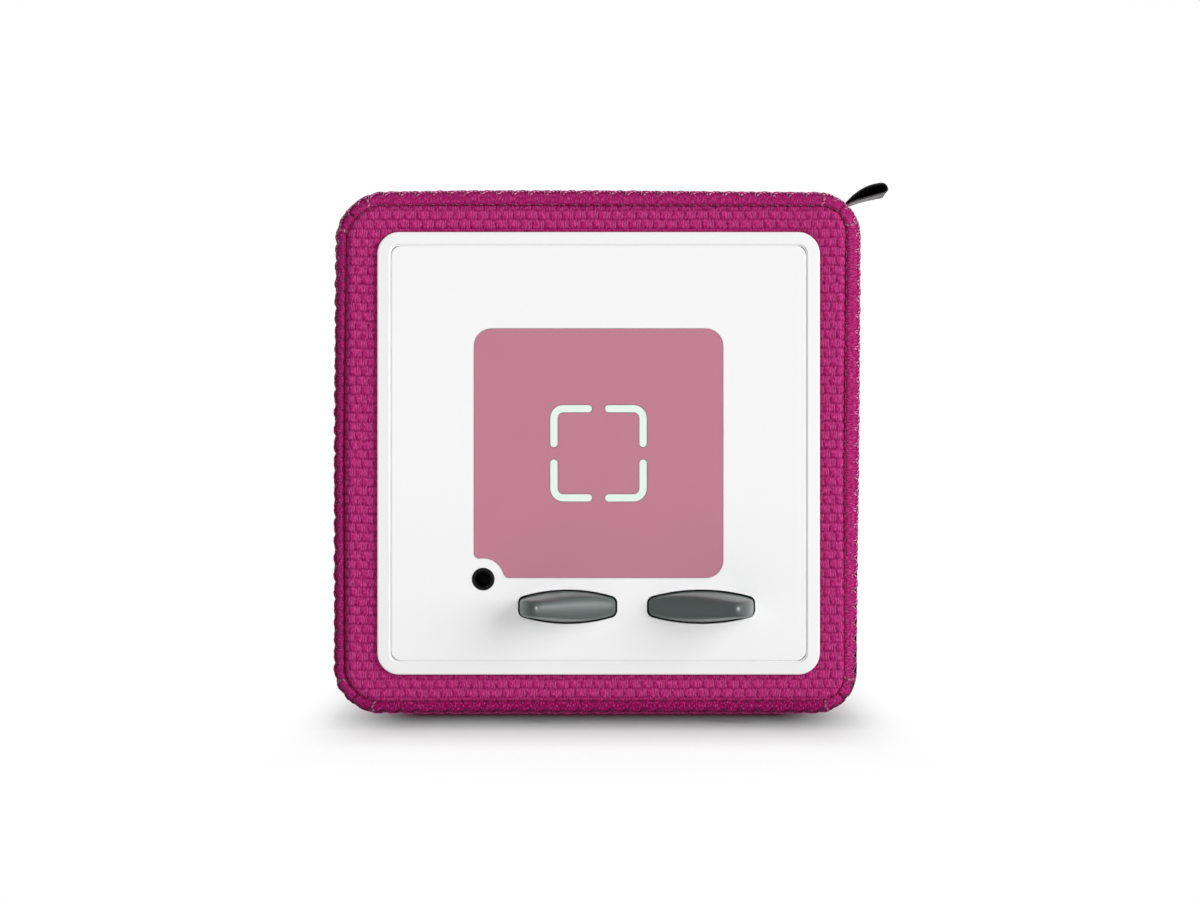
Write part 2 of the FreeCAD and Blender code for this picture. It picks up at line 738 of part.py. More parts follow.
def make_panel_carrier():
    """Moulding behind the face plate that carries ears, magnets and control board."""
    platform_side = bezel_window - 2.0 * layer_gap
    platform = rounded_block(platform_side, platform_side, plate_corner_radius, plate_back_y,
                             carrier_front_y)
    base = layer(core_inset, carrier_front_y, carrier_back_y)
    pieces = [platform, base]
    for x, z in board_post_places():
        pieces.append(rod_y(board_post_radius, x, z, carrier_back_y, board_front_y))
    for x, z in guide_screw_places():
        pieces.append(rod_y(guide_boss_radius, x, z, carrier_back_y, guide_plate_front_y()))
    cup_radius = magnet_radius + magnet_gap + magnet_cup_wall
    for x, z in corners(magnet_spacing, magnet_spacing):
        pieces.append(rod_y(cup_radius, x, z, carrier_back_y, carrier_back_y + magnet_cup_height))
    carrier = fuse_all(pieces)
    tools = bracket_blocks(guide_clearance, plate_back_y, carrier_back_y)
    tools.append(rod_y(jack_ring_radius + jack_gap, jack_x, panel_jack_z, plate_back_y, carrier_back_y))
    tools.append(lens_block(ear_small_length, 0.0, plate_back_y, carrier_back_y, ear_small_x))
    tools.append(lens_block(ear_large_length, 0.0, plate_back_y, carrier_back_y, ear_large_x))
    for x, z in corners(magnet_spacing, magnet_spacing):
        tools.append(rod_y(magnet_radius + magnet_gap, x, z, carrier_back_y,
                           carrier_back_y + magnet_cup_height))
    pilot = small_screw_shank_radius + screw_gap
    for x, z in board_post_places():
        reach = board_back_y - screw_length - pilot_tip_gap
        tools.append(rod_y(pilot, x, z, reach, board_front_y))
    for x, z in guide_screw_places():
        reach = guide_plate_back_y() - screw_length - pilot_tip_gap
        tools.append(rod_y(pilot, x, z, reach, guide_plate_front_y()))
    head_seat_y = plate_back_y + large_screw_head_height
    for x, z in carrier_screw_places():
        tools.append(rod_y(large_screw_head_radius + screw_pass_gap, x, z, plate_back_y, head_seat_y))
        tools.append(rod_y(large_screw_shank_radius + screw_pass_gap, x, z, head_seat_y, carrier_back_y))
    return cut_all(carrier, tools)


def make_carrier_screws():
    """Four screws from the carrier's front into the core's corner bosses."""
    seat_y = plate_back_y + large_screw_head_height
    return Part.makeCompound([placed(large_screw(), to_front, FreeCAD.Vector(x, seat_y, z))
                              for x, z in carrier_screw_places()])


def make_pad_magnets():
    """Four disc magnets in the carrier's cups, under the landing pad."""
    return Part.makeCompound([rod_y(magnet_radius, x, z, carrier_back_y, carrier_back_y + magnet_thickness)
                              for x, z in corners(magnet_spacing, magnet_spacing)])


def make_guide_screws():
    """Four screws that hold the guide plate."""
    return Part.makeCompound([placed(small_screw(), to_back, FreeCAD.Vector(x, guide_plate_back_y(), z))
                              for x, z in guide_screw_places()])


def make_control_board():
    """Board behind the panel: switches, lamps, reader coil and jack sit on it."""
    board = rounded_block(board_width, board_height, board_corner_radius, board_front_y, board_back_y)
    holes = [rod_y(small_screw_shank_radius + screw_gap, x, z, board_front_y, board_back_y)
             for x, z in board_post_places()]
    return cut_all(board, holes)


def make_board_screws():
    """Four screws that hold the control board on its posts."""
    return Part.makeCompound([placed(small_screw(), to_back, FreeCAD.Vector(x, board_back_y, z))
                              for x, z in board_post_places()])


def make_board_lamps():
    """Four lamps on the control board, one behind each bracket's corner."""
    spacing = bracket_side - 2.0 * bracket_corner_radius
    lamps = []
    for x, z in corners(spacing, spacing):
        corner = FreeCAD.Vector(x - lamp_side / 2.0, board_front_y - lamp_height, z - lamp_side / 2.0)
        lamps.append(Part.makeBox(lamp_side, lamp_height, lamp_side, corner))
    return Part.makeCompound(lamps)


def make_reader_coil():
    """Flat square coil on the control board that reads the figure on the pad."""
    y_from = board_front_y - coil_thickness
    outer = rounded_block(coil_side, coil_side, pad_corner_radius, y_from, board_front_y)
    inner_side = coil_side - 2.0 * coil_band
    return outer.cut(rounded_block(inner_side, inner_side, pad_corner_radius, y_from, board_front_y))


# ---------------------------------------------------------------- core box
def main_board_places():
    """Places of the main board's posts, as (x, y) pairs."""
    half = main_board_width / 2.0 - main_board_post_inset
    rear = main_board_back_y() - main_board_post_inset
    front = main_board_back_y() - main_board_length + main_board_post_inset
    return [(side * half, y) for side in (-1, 1) for y in (front, rear)]


def main_board_back_y():
    """Rear edge of the main board."""
    return core_back_inner_y - main_board_wall_gap


def main_board_z():
    """Underside of the main board."""
    return mid_z - main_board_drop


def back_screw_places():
    """Places of the back plate's four screws, as (x, z) pairs."""
    return corners(2.0 * back_screw_x, 2.0 * back_screw_z)


def tray_screw_places():
    """Places of the battery tray's two screws, as (x, z) pairs."""
    return [(side * tray_screw_spacing / 2.0, battery_z) for side in (-1, 1)]


def speaker_screw_places():
    """Places of the speaker's four screws, as (x, y) pairs."""
    half = speaker_screw_spacing / 2.0
    return [(side * half, speaker_y + step * half) for side in (-1, 1) for step in (-1, 1)]


def grille_slots():
    """Row of slots that fills a circle over the speaker."""
    count = int(grille_radius / grille_slot_pitch)
    slots = []
    for number in range(-count, count + 1):
        x = number * grille_slot_pitch
        half = math.sqrt(grille_radius ** 2 - x ** 2)
        corner = FreeCAD.Vector(x - grille_slot_width / 2.0, speaker_y - half, core_ceiling_z)
        slots.append(Part.makeBox(grille_slot_width, 2.0 * half, core_wall, corner))
    return slots


def usb_block(grow, y_from, y_to):
    """Outline of the charging socket, grown all round."""
    z = main_board_z() + board_thickness + usb_height / 2.0
    return rounded_block(usb_width + 2.0 * grow, usb_height + 2.0 * grow, usb_corner_radius + grow,
                         y_from, y_to, 0.0, z)


def corner_boss(x, z):
    """Boss for a carrier screw, with a rib to each of the two walls beside it."""
    side_x = math.copysign(1.0, x)
    side_z = math.copysign(1.0, z - mid_z)
    y_to = carrier_back_y + carrier_boss_length
    wall_x = side_x * (cube_width / 2.0 - core_inner_inset)
    wall_z = mid_z + side_z * (cube_height / 2.0 - core_inner_inset)
    rib_x = Part.makeBox(abs(wall_x - x), carrier_boss_length, carrier_rib_thickness,
                         FreeCAD.Vector(min(x, wall_x), carrier_back_y, z - carrier_rib_thickness / 2.0))
    rib_z = Part.makeBox(carrier_rib_thickness, carrier_boss_length, abs(wall_z - z),
                         FreeCAD.Vector(x - carrier_rib_thickness / 2.0, carrier_back_y, min(z, wall_z)))
    return [rod_y(carrier_boss_radius, x, z, carrier_back_y, y_to), rib_x, rib_z]


def make_core_box():
    """Moulded tub, open to the front: walls, screw bosses, board posts and speaker grille."""
    box = layer(core_inset, carrier_back_y, core_back_y)
    box = box.cut(layer(core_inner_inset, carrier_back_y, core_back_inner_y))
    pieces = [box]
    for x, z in carrier_screw_places():
        pieces += corner_boss(x, z)
    for x, z in back_screw_places():
        pieces.append(rod_y(back_boss_radius, x, z, core_back_inner_y - back_boss_length, core_back_inner_y))
    for x, y in main_board_places():
        pieces.append(rod_z(main_board_post_radius, x, y, core_floor_z, main_board_z()))
    core = fuse_all(pieces)
    tools = grille_slots()
    large_pilot = large_screw_shank_radius + screw_gap
    small_pilot = small_screw_shank_radius + screw_gap
    for x, z in carrier_screw_places():
        tip_y = plate_back_y + large_screw_head_height + large_screw_length + pilot_tip_gap
        tools.append(rod_y(large_pilot, x, z, carrier_back_y, tip_y))
    for x, z in back_screw_places():
        tools.append(rod_y(large_pilot, x, z, back_screw_seat_y() - large_screw_length - pilot_tip_gap,
                           core_back_y))
    for x, y in main_board_places():
        tools.append(rod_z(small_pilot, x, y, main_board_z() + board_thickness - screw_length - pilot_tip_gap,
                           main_board_z()))
    for x, z in tray_screw_places():
        tools.append(rod_y(small_pilot, x, z, core_back_inner_y, core_back_inner_y + tray_screw_depth()))
    for x, y in speaker_screw_places():
        tools.append(rod_z(small_pilot, x, y, core_ceiling_z, core_ceiling_z + speaker_screw_depth()))
    tools.append(usb_block(usb_gap, core_back_inner_y, core_back_y))
    return cut_all(core, tools)


def tray_screw_depth():
    """Depth of the tray screws' holes in the rear wall."""
    return core_wall - pilot_tip_gap


def speaker_screw_depth():
    """Depth of the speaker screws' holes in the ceiling."""
    return core_wall - pilot_tip_gap


# ---------------------------------------------------------------- back plate
def back_screw_seat_y():
    """Plane that the back plate's screw heads sit on, below its outer face."""
    return back_plate_back_y - large_screw_head_height


def make_back_plate():
    """Plate that clamps the fabric's back edge, with feet recesses and charging opening."""
    lip = rounded_block(back_plate_side, back_plate_side, back_plate_corner_radius, back_y,
                        back_plate_back_y)
    lip = lip.makeFillet(back_plate_edge_radius, edges_at_y(lip, back_plate_back_y))
    spigot = rounded_block(back_spigot_side, back_spigot_side, back_plate_corner_radius, core_back_y, back_y)
    plate = lip.fuse(spigot).removeSplitter()
    tools = []
    for x, z in corners(foot_spacing, foot_spacing):
        tools.append(rod_y(foot_radius + foot_gap, x, z, back_plate_back_y - foot_recess, back_plate_back_y))
    for x, z in back_screw_places():
        tools.append(rod_y(large_screw_head_radius + screw_pass_gap, x, z, back_screw_seat_y(),
                           back_plate_back_y))
        tools.append(rod_y(large_screw_shank_radius + screw_pass_gap, x, z, core_back_y,
                           back_screw_seat_y()))
    tools.append(usb_block(usb_gap, core_back_y, back_plate_back_y))
    return cut_all(plate, tools)


def make_back_screws():
    """Four screws that hold the back plate to the core."""
    return Part.makeCompound([placed(large_screw(), to_back, FreeCAD.Vector(x, back_screw_seat_y(), z))
                              for x, z in back_screw_places()])


def make_back_feet():
    """Four round rubber feet, for setting the player down with its panel up."""
    feet = []
    for x, z in corners(foot_spacing, foot_spacing):
        foot = rod_y(foot_radius, x, z, back_plate_back_y - foot_recess, back_plate_back_y + foot_proud)
        feet.append(foot.makeChamfer(foot_edge_bevel, edges_at_y(foot, back_plate_back_y + foot_proud)))
    return Part.makeCompound(feet)


# ---------------------------------------------------------------- inner units
def make_main_board():
    """Main board, lying on posts on the core's floor."""
    corner = FreeCAD.Vector(-main_board_width / 2.0, main_board_back_y() - main_board_length, main_board_z())
    board = Part.makeBox(main_board_width, main_board_length, board_thickness, corner)
    holes = [rod_z(small_screw_shank_radius + screw_gap, x, y, main_board_z(),
                   main_board_z() + board_thickness) for x, y in main_board_places()]
    return cut_all(board, holes)


def make_main_board_screws():
    """Four screws that hold the main board."""
    top = main_board_z() + board_thickness
    return Part.makeCompound([placed(small_screw(), upward, FreeCAD.Vector(x, y, top))
                              for x, y in main_board_places()])


def make_shield_can():
    """Pressed steel shield over the processor and radio."""
    top = main_board_z() + board_thickness
    middle_y = main_board_back_y() - main_board_length / 2.0
    corner = FreeCAD.Vector(-shield_side / 2.0, middle_y - shield_side / 2.0, top)
    can = Part.makeBox(shield_side, shield_side, shield_height, corner)
    return can.makeChamfer(usb_wall, edges_along(can, upward))


def make_usb_port():
    """Charging socket at the main board's rear edge: shell and inner tongue."""
    y_to = back_plate_back_y - usb_sunk
    floor_y = y_to - usb_socket_depth
    board_edge = main_board_back_y()
    y_from = min(y_to - usb_length, board_edge - usb_length / 3.0)
    shell = usb_block(0.0, y_from, y_to).cut(usb_block(-usb_wall, floor_y, y_to))
    z = main_board_z() + board_thickness + usb_height / 2.0
    tongue = Part.makeBox(usb_tongue_width, usb_socket_depth - usb_wall, usb_tongue_height,
                          FreeCAD.Vector(-usb_tongue_width / 2.0, floor_y, z - usb_tongue_height / 2.0))
    return shell.fuse(tongue).removeSplitter()


def cell_places():
    """Heights of the two battery cells."""
    offset = cell_radius + cell_gap / 2.0
    return [battery_z - offset, battery_z + offset]


def cell_axis_y():
    """Depth of the cells' axes, in front of the tray on the rear wall."""
    return core_back_inner_y - tray_floor - cell_gap - cell_radius


def make_battery_cells():
    """Two round cells, lying across the player."""
    cells = []
    for z in cell_places():
        cell = Part.makeCylinder(cell_radius, cell_length, FreeCAD.Vector(-cell_length / 2.0, cell_axis_y(), z),
                                 FreeCAD.Vector(1, 0, 0))
        ends = [edge for edge in cell.Edges if isinstance(edge.Curve, Part.Circle)]
        cells.append(cell.makeChamfer(cell_edge_bevel, ends))
    return Part.makeCompound(cells)


def make_battery_tray():
    """Tray on the rear wall: floor, end cheeks and saddles that hold the two cells."""
    width = cell_length + 2.0 * (cell_end_gap + tray_cheek)
    height = 4.0 * cell_radius + cell_gap + 2.0 * tray_cheek
    front = core_back_inner_y - tray_floor - tray_saddle_rise
    low = battery_z - height / 2.0
    block = Part.makeBox(width, core_back_inner_y - front, height, FreeCAD.Vector(-width / 2.0, front, low))
    tools = []
    for z in cell_places():
        tools.append(Part.makeCylinder(cell_radius + cell_gap, cell_length + 2.0 * cell_end_gap,
                                       FreeCAD.Vector(-cell_length / 2.0 - cell_end_gap, cell_axis_y(), z),
                                       FreeCAD.Vector(1, 0, 0)))
    for x, z in tray_screw_places():
        seat_y = core_back_inner_y - tray_seat()
        tools.append(rod_y(small_screw_head_radius + screw_pass_gap, x, z, front, seat_y))
        tools.append(rod_y(small_screw_shank_radius + screw_gap, x, z, seat_y, core_back_inner_y))
    return cut_all(block, tools)


def tray_seat():
    """Distance of the tray screws' head seat from the rear wall."""
    return screw_length - tray_screw_depth() + pilot_tip_gap


def make_tray_screws():
    """Two screws that hold the battery tray."""
    seat_y = core_back_inner_y - tray_seat()
    return Part.makeCompound([placed(small_screw(), to_front, FreeCAD.Vector(x, seat_y, z))
                              for x, z in tray_screw_places()])


# ---------------------------------------------------------------- speaker
def speaker_face_z():
    """Plane of the speaker flange's upper face, under the gasket."""
    return core_ceiling_z - speaker_gasket_thickness


def speaker_sheet(z_from, z_to):
    """Square sheet with round corners over the speaker's opening, with screw holes."""
    half = speaker_flange_side / 2.0
    sheet = Part.makeBox(speaker_flange_side, speaker_flange_side, z_to - z_from,
                         FreeCAD.Vector(-half, speaker_y - half, z_from))
    sheet = sheet.makeFillet(speaker_flange_corner_radius, edges_along(sheet, upward))
    tools = [rod_z(speaker_opening_radius, 0.0, speaker_y, z_from, z_to)]
    for x, y in speaker_screw_places():
        tools.append(rod_z(small_screw_shank_radius + screw_gap, x, y, z_from, z_to))
    return cut_all(sheet, tools)


def make_speaker_gasket():
    """Foam gasket between speaker and ceiling."""
    return speaker_sheet(speaker_face_z(), core_ceiling_z)


def make_speaker_frame():
    """Pressed basket: square flange, cone-shaped wall and a foot for the magnet."""
    flange_low_z = speaker_face_z() - speaker_flange_thickness
    flange = speaker_sheet(flange_low_z, speaker_face_z())
    depth = speaker_basket_depth
    wall = speaker_basket_wall
    basket = revolve_z([
        (speaker_opening_radius, 0.0), (speaker_opening_radius + wall, 0.0),
        (speaker_basket_foot_radius + wall, -depth), (cone_neck_radius + wall, -depth),
        (cone_neck_radius + wall, wall - depth), (speaker_basket_foot_radius, wall - depth),
    ], 0.0, speaker_y, flange_low_z)
    return flange.fuse(basket).removeSplitter()


def make_speaker_magnet():
    """Round magnet under the basket, with its pole rising into the coil."""
    top = speaker_face_z() - speaker_flange_thickness - speaker_basket_depth
    magnet = rod_z(speaker_magnet_radius, 0.0, speaker_y, top - speaker_magnet_thickness, top)
    rims = [edge for edge in magnet.Edges if isinstance(edge.Curve, Part.Circle)]
    magnet = magnet.makeChamfer(speaker_magnet_bevel, rims)
    pole = rod_z(cone_neck_radius - 2.0 * cone_wall, 0.0, speaker_y, top - speaker_magnet_bevel,
                 top + speaker_basket_wall)
    return magnet.fuse(pole)


def make_speaker_cone():
    """Paper cone with its coil former and a dust cap, one moulding."""
    top = -speaker_flange_thickness / 2.0
    low = top - cone_depth
    coil_low = -speaker_flange_thickness - speaker_basket_depth + surround_gap
    return revolve_z([
        (cone_outer_radius, top), (cone_neck_radius, low), (0.0, low), (0.0, low - cone_wall),
        (cone_neck_radius - cone_wall, low - cone_wall), (cone_neck_radius - cone_wall, coil_low),
        (cone_neck_radius, coil_low), (cone_neck_radius, low - cone_wall), (cone_outer_radius, top - cone_wall),
    ], 0.0, speaker_y, speaker_face_z())


def make_speaker_surround():
    """Rubber half-roll between cone and basket."""
    inner = cone_outer_radius + surround_gap
    outer = speaker_opening_radius - surround_gap
    middle = (inner + outer) / 2.0
    roll = (outer - inner) / 2.0
    section = []
    for radius, steps in ((roll, range(surround_steps + 1)),
                          (roll - surround_wall, range(surround_steps, -1, -1))):
        for step in steps:
            angle = math.pi * step / surround_steps
            section.append((middle - radius * math.cos(angle), radius * math.sin(angle)))
    return revolve_z(section, 0.0, speaker_y, speaker_face_z() - speaker_flange_thickness)


def make_speaker_screws():
    """Four screws that hold the speaker from below."""
    seat_z = core_ceiling_z + speaker_screw_depth() - pilot_tip_gap / 2.0 - screw_length
    low_seat_z = speaker_face_z() - speaker_flange_thickness
    shank = low_seat_z - seat_z
    screws = []
    for x, y in speaker_screw_places():
        screws.append(placed(screw(small_screw_shank_radius, small_screw_head_radius,
                                   small_screw_head_height, screw_length - shank),
                             downward, FreeCAD.Vector(x, y, low_seat_z)))
    return Part.makeCompound(screws)


# ---------------------------------------------------------------- all sub-parts
front_window = bezel_sleeve_side + 2.0 * layer_gap
front_window_radius = plate_corner_radius + plate_gap + bezel_sleeve_wall + layer_gap
back_window = back_spigot_side + 2.0 * layer_gap
back_window_radius = back_plate_corner_radius + layer_gap

write_node("cover_sides", make_cover_sides())
write_node("cover_front", make_cover_border(front_y, front_y + cover_thickness, front_window,
                                            front_window_radius))
write_node("cover_back", make_cover_border(back_y, back_y - cover_thickness, back_window,
                                           back_window_radius))
write_node("edge_roll_front", make_edge_roll_front())
write_node("edge_roll_back", make_edge_roll_back())
write_node("foam_jacket", make_foam_jacket())
write_node("tag_loop", make_tag_loop())
write_node("front_bezel", make_front_bezel())
write_node("face_plate", make_face_plate())
write_node("landing_pad", make_landing_pad())
write_node("light_guide", make_light_guide())
write_node("jack_socket", make_jack_socket())
write_node("ear_small", make_ear(ear_small_length, ear_small_height, ear_small_x, -1.0))
write_node("ear_large", make_ear(ear_large_length, ear_large_height, ear_large_x, 1.0))
write_node("ear_guide_plate", make_ear_guide_plate())
write_node("guide_screws", make_guide_screws())
write_node("ear_dome_small", make_ear_dome(ear_small_x))
write_node("ear_dome_large", make_ear_dome(ear_large_x))
write_node("panel_carrier", make_panel_carrier())
write_node("carrier_screws", make_carrier_screws())
write_node("pad_magnets", make_pad_magnets())
write_node("control_board", make_control_board())
write_node("board_screws", make_board_screws())
write_node("board_lamps", make_board_lamps())
write_node("reader_coil", make_reader_coil())
write_node("core_box", make_core_box())
write_node("back_plate", make_back_plate())
write_node("back_screws", make_back_screws())
write_node("back_feet", make_back_feet())
write_node("main_board", make_main_board())
write_node("main_board_screws", make_main_board_screws())
write_node("shield_can", make_shield_can())
write_node("usb_port", make_usb_port())
write_node("battery_cells", make_battery_cells())
write_node("battery_tray", make_battery_tray())
write_node("tray_screws", make_tray_screws())
write_node("speaker_gasket", make_speaker_gasket())
write_node("speaker_frame", make_speaker_frame())
write_node("speaker_magnet", make_speaker_magnet())
write_node("speaker_cone", make_speaker_cone())
write_node("speaker_surround", make_speaker_surround())
write_node("speaker_screws", make_speaker_screws())
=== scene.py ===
"""Audio story player for small children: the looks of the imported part.

The cover is sewn from a matt-weave fabric over a foam jacket, with a rolled edge round the
front and the back, overlocked seams and a ribbon tag. The panel is moulded plastic with a
landing pad, a lit mark, a headphone socket and two ear-shaped keys that press in.
Sizes in the functions are millimetres, and finish_piece() turns them to metres.
"""

import json
import math
from typing import NamedTuple

import bmesh
import bpy
import numpy as np
from mathutils import Matrix, Vector

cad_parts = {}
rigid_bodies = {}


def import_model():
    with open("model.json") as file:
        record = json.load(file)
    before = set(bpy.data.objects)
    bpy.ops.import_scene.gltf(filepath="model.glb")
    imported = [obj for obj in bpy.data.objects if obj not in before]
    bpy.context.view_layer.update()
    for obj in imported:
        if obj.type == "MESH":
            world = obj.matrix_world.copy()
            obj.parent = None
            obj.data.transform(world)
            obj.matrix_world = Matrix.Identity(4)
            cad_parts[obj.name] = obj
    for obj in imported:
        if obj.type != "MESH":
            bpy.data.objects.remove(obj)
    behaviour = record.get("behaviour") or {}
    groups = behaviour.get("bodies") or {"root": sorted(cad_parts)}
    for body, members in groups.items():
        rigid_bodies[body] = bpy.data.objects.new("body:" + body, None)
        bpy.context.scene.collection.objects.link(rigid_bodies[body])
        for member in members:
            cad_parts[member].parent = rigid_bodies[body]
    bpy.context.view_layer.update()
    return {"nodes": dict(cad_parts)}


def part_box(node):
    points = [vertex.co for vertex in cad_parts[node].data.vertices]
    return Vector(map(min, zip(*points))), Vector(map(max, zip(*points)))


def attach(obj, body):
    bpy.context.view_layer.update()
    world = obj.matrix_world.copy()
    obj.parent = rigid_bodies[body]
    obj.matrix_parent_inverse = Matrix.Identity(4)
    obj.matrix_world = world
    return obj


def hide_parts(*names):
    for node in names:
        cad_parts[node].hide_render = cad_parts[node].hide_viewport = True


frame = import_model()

bl_info = {
    "name": "Audio story player",
    "version": (1, 0, 0),
    "blender": (4, 5, 0),
    "location": "3D View > Sidebar > Story player",
    "description": "Sews the cover, moulds the panel and gives every piece its finish",
    "category": "Object",
}

MM = 0.001


def srgb(code):
    """The linear RGBA colour of an sRGB hex value such as '#a62c6b'."""
    channels = [int(code[i:i + 2], 16) / 255 for i in (1, 3, 5)]
    linear = [c / 12.92 if c <= 0.04045 else ((c + 0.055) / 1.055) ** 2.4 for c in channels]
    return (*linear, 1.0)


def box_mm(node):
    """Lowest and highest corner of a CAD node, in millimetres."""
    low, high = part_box(node)
    return low / MM, high / MM


# ---------------------------------------------------------------- sizes, in millimetres

COVER_LOW, COVER_HIGH = box_mm("cover_sides")
HALF = (COVER_HIGH.x - COVER_LOW.x) / 2
MID_Z = (COVER_HIGH.z + COVER_LOW.z) / 2
CORNER_RADIUS = 10.0
FACE_DEPTH = -box_mm("cover_front")[0].y

BEZEL_HALF = box_mm("front_bezel")[1].x
BEZEL_RADIUS = 5.0
BEZEL_FRONT = -box_mm("front_bezel")[0].y
BACK_PLATE_HALF = box_mm("back_plate")[1].x
BACK_PLATE_RADIUS = 6.0
LIP_COVERS = 1.2           # how far the cloth runs in under a lip

# How far the stuffed cover stands out from the cube, at stations as stations_at() counts them.
PROUD_STATIONS = (
    0.0, 0.5, 1.0, 1.5, 2.0, 2.5, 2.8, 3.0, 3.2, 3.5, 3.8, 4.0, 4.5, 5.0, 5.5, 6.0, 7.0, 7.5, 8.0
)
PROUD = (
    -0.7, 0.0, 0.35, 0.15, 0.1, 0.5, 0.5, 0.2, -0.15, -0.35, -0.1, 0.35, 0.7, 0.7, 0.0, -0.3, -0.3,
    -0.4, -0.7
)
# How far the seam between face and roll lies in from the cube's side, at each half station.
SEAM_STATIONS = np.arange(17) / 2
SEAM_INSET = (3.3, 3.8, 3.6, 3.1, 3.5, 3.7, 3.5, 3.1, 2.5, 2.2, 2.4, 3.0, 3.1, 3.2, 3.2, 3.1, 3.3)

SEAM_DEPTH = 59.8          # the stitched valley between face and roll, from the cube's middle
SEAM_OVERLAP = 0.15        # how far the face and the roll run under each other
CROWN = 61.0               # the padded face's highest line
LIP_CLOTH = 59.8           # the cloth where a lip presses on it
FACE_FOLLOWS = 0.4         # share of the outline's waves that the face's outer edge follows
FACE_RISE = 1.7            # run in which the face swells up from the seam, and from the lip
LIP_RISE = 1.9
ROLL_DEPTH = 58.5          # middle of the roll's section
ROLL_RISE = 1.65           # the roll's height above that middle
ROLL_TILT = 0.4            # how much further forward its inner edge stands than its middle
ROLL_FULLNESS = 2.9        # its inner half is fuller than a round one, whose value is 2
ROLL_TUCK = 0.5            # the roll's outer edge, in from the side panel
ROLL_START = -0.35         # where its strip of cloth starts, and how far it wraps, in radians
ROLL_WRAP = math.pi + 0.6
ROLL_STRIP = 7.0           # width of that strip, and the row height of its weave
ROLL_ROW = 1.15
JOINT_WIDTH = 0.3          # a pinched corner joint of the roll
JOINT_PINCH = 0.9
PANEL_VALLEY = 58.0        # where the side panel meets the roll
VALLEY_INSET = 0.75
SHOULDER = 1.8             # run in which a side panel rises from that valley
SIDE_CROWN = 0.35          # how far its middle bulges
END_DIP = 0.45             # how far its end seams dip, and how wide
END_WIDTH = 0.6
STAND_CLEAR = -0.05        # the underside's cloth stays this far inside the cube
PANEL_HALF = 57.8          # half a side panel's width, along the outline
PUFF_PLACE = 1.3           # how far in from the valley the side panel puffs between stitches

PLATE_FRONT = -box_mm("face_plate")[0].y
PLATE_HALF = box_mm("face_plate")[1].x
BEZEL_GAP = 0.35           # groove between the plate and the frame
BEZEL_LIP_BACK = 60.0      # where the frame's lip presses on the cloth
BEZEL_BACK = -box_mm("front_bezel")[1].y
FRAME_ROUND = 0.35         # rounding of the frame's outer edge, and of its edge to the groove
GROOVE_ROUND = 0.15
FRAME_LEAN = 0.13          # how much further forward the rim's inner edge stands
FRAME_SUPPORT = 0.1        # narrow strips beside a rounding, which keep the flats flat
GROOVE_FLOOR = 0.3         # the groove's floor, behind the plate's front
SLEEVE_GAP = 0.03          # between the plate and the sleeve round it
SLEEVE_WALL = 1.2

EAR_FLANGE = 1.2           # the hidden flange's overhang and its thickness
EAR_END = 1.7              # half the blunt end of the lens outline, before its knees
EAR_KNEE = 1.3
EAR_CREST = 1.9            # half the width of the highest crest
EAR_TAIL = 1.2             # height of the low end
EAR_PEAK = 4.6             # how far in from the steep end the crest is highest
EAR_FLANGE_FRONT = 56.3
EAR_POST_END = 50.7
EAR_STEM_END = 49.9
EAR_POST_SPACING = 14.0
EAR_POST_RADIUS = 1.5
EAR_STEM_RADIUS = 2.2
EAR_STEPS = (0, 0.36, 0.70, 0.93, 1, 1, 1)   # rows from the crest to the foot, as shares across

FLOAT_SHARE = 0.64         # share of the weave's pitch that the puffy float takes
JOINT_ANGLES = (48, 145, 225, 315)
TACK_ANGLES = (17, 80, 111, 174, 193, 259, 285, 348)
TACK_SHIFTS = (-0.12, 0.16)
STITCH_STEPS = 12
STITCH_LEAN = 0.3          # share of a stitch at which its thread reaches furthest out
THREAD_LIFT = 0.12         # how far a thread lies above the cloth
THREAD_LOWEST = 0.25
RUNNING_PITCH = 2.7        # the small stitches in the roll's inner seam, and what shows of each
RUNNING_SEEN = 1.5
RIBBON_LENGTH, RIBBON_WIDTH, RIBBON_THICK = 21, 12, 0.3
FOAM_WALL = 3.6            # the padding's wall, and how far it reaches to the front and the back
FOAM_REACH = 57.6
FOAM_GAP = 0.25            # between the foam and the cloth
FOAM_STRAIGHT = 50.0       # half its straight sides, between the round corners

STATIONS = np.arange(9.0)
STRAIGHT, BEND = 2 * (HALF - CORNER_RADIUS), CORNER_RADIUS * math.pi / 2
WAY_MARKS = np.cumsum([0.0] + [STRAIGHT, BEND] * 4)
WAY_ROUND = float(WAY_MARKS[-1])


class Face(NamedTuple):
    """What differs between the cover's front and its back."""

    label: str
    side: int
    lip_half: float
    lip_radius: float


FACES = (
    Face("front", -1, BEZEL_HALF, BEZEL_RADIUS),
    Face("back", 1, BACK_PLATE_HALF, BACK_PLATE_RADIUS),
)


# ---------------------------------------------------------------- settings

def length(name, description, size_mm):
    """A length property whose default is given in millimetres."""
    return bpy.props.FloatProperty(
        name=name, description=description, default=size_mm * MM, min=0.0, unit="LENGTH"
    )


def colour(name, description, code):
    """A colour property whose default is an sRGB hex value."""
    return bpy.props.FloatVectorProperty(
        name=name, description=description, default=srgb(code), size=4, min=0.0, max=1.0,
        subtype="COLOR",
    )


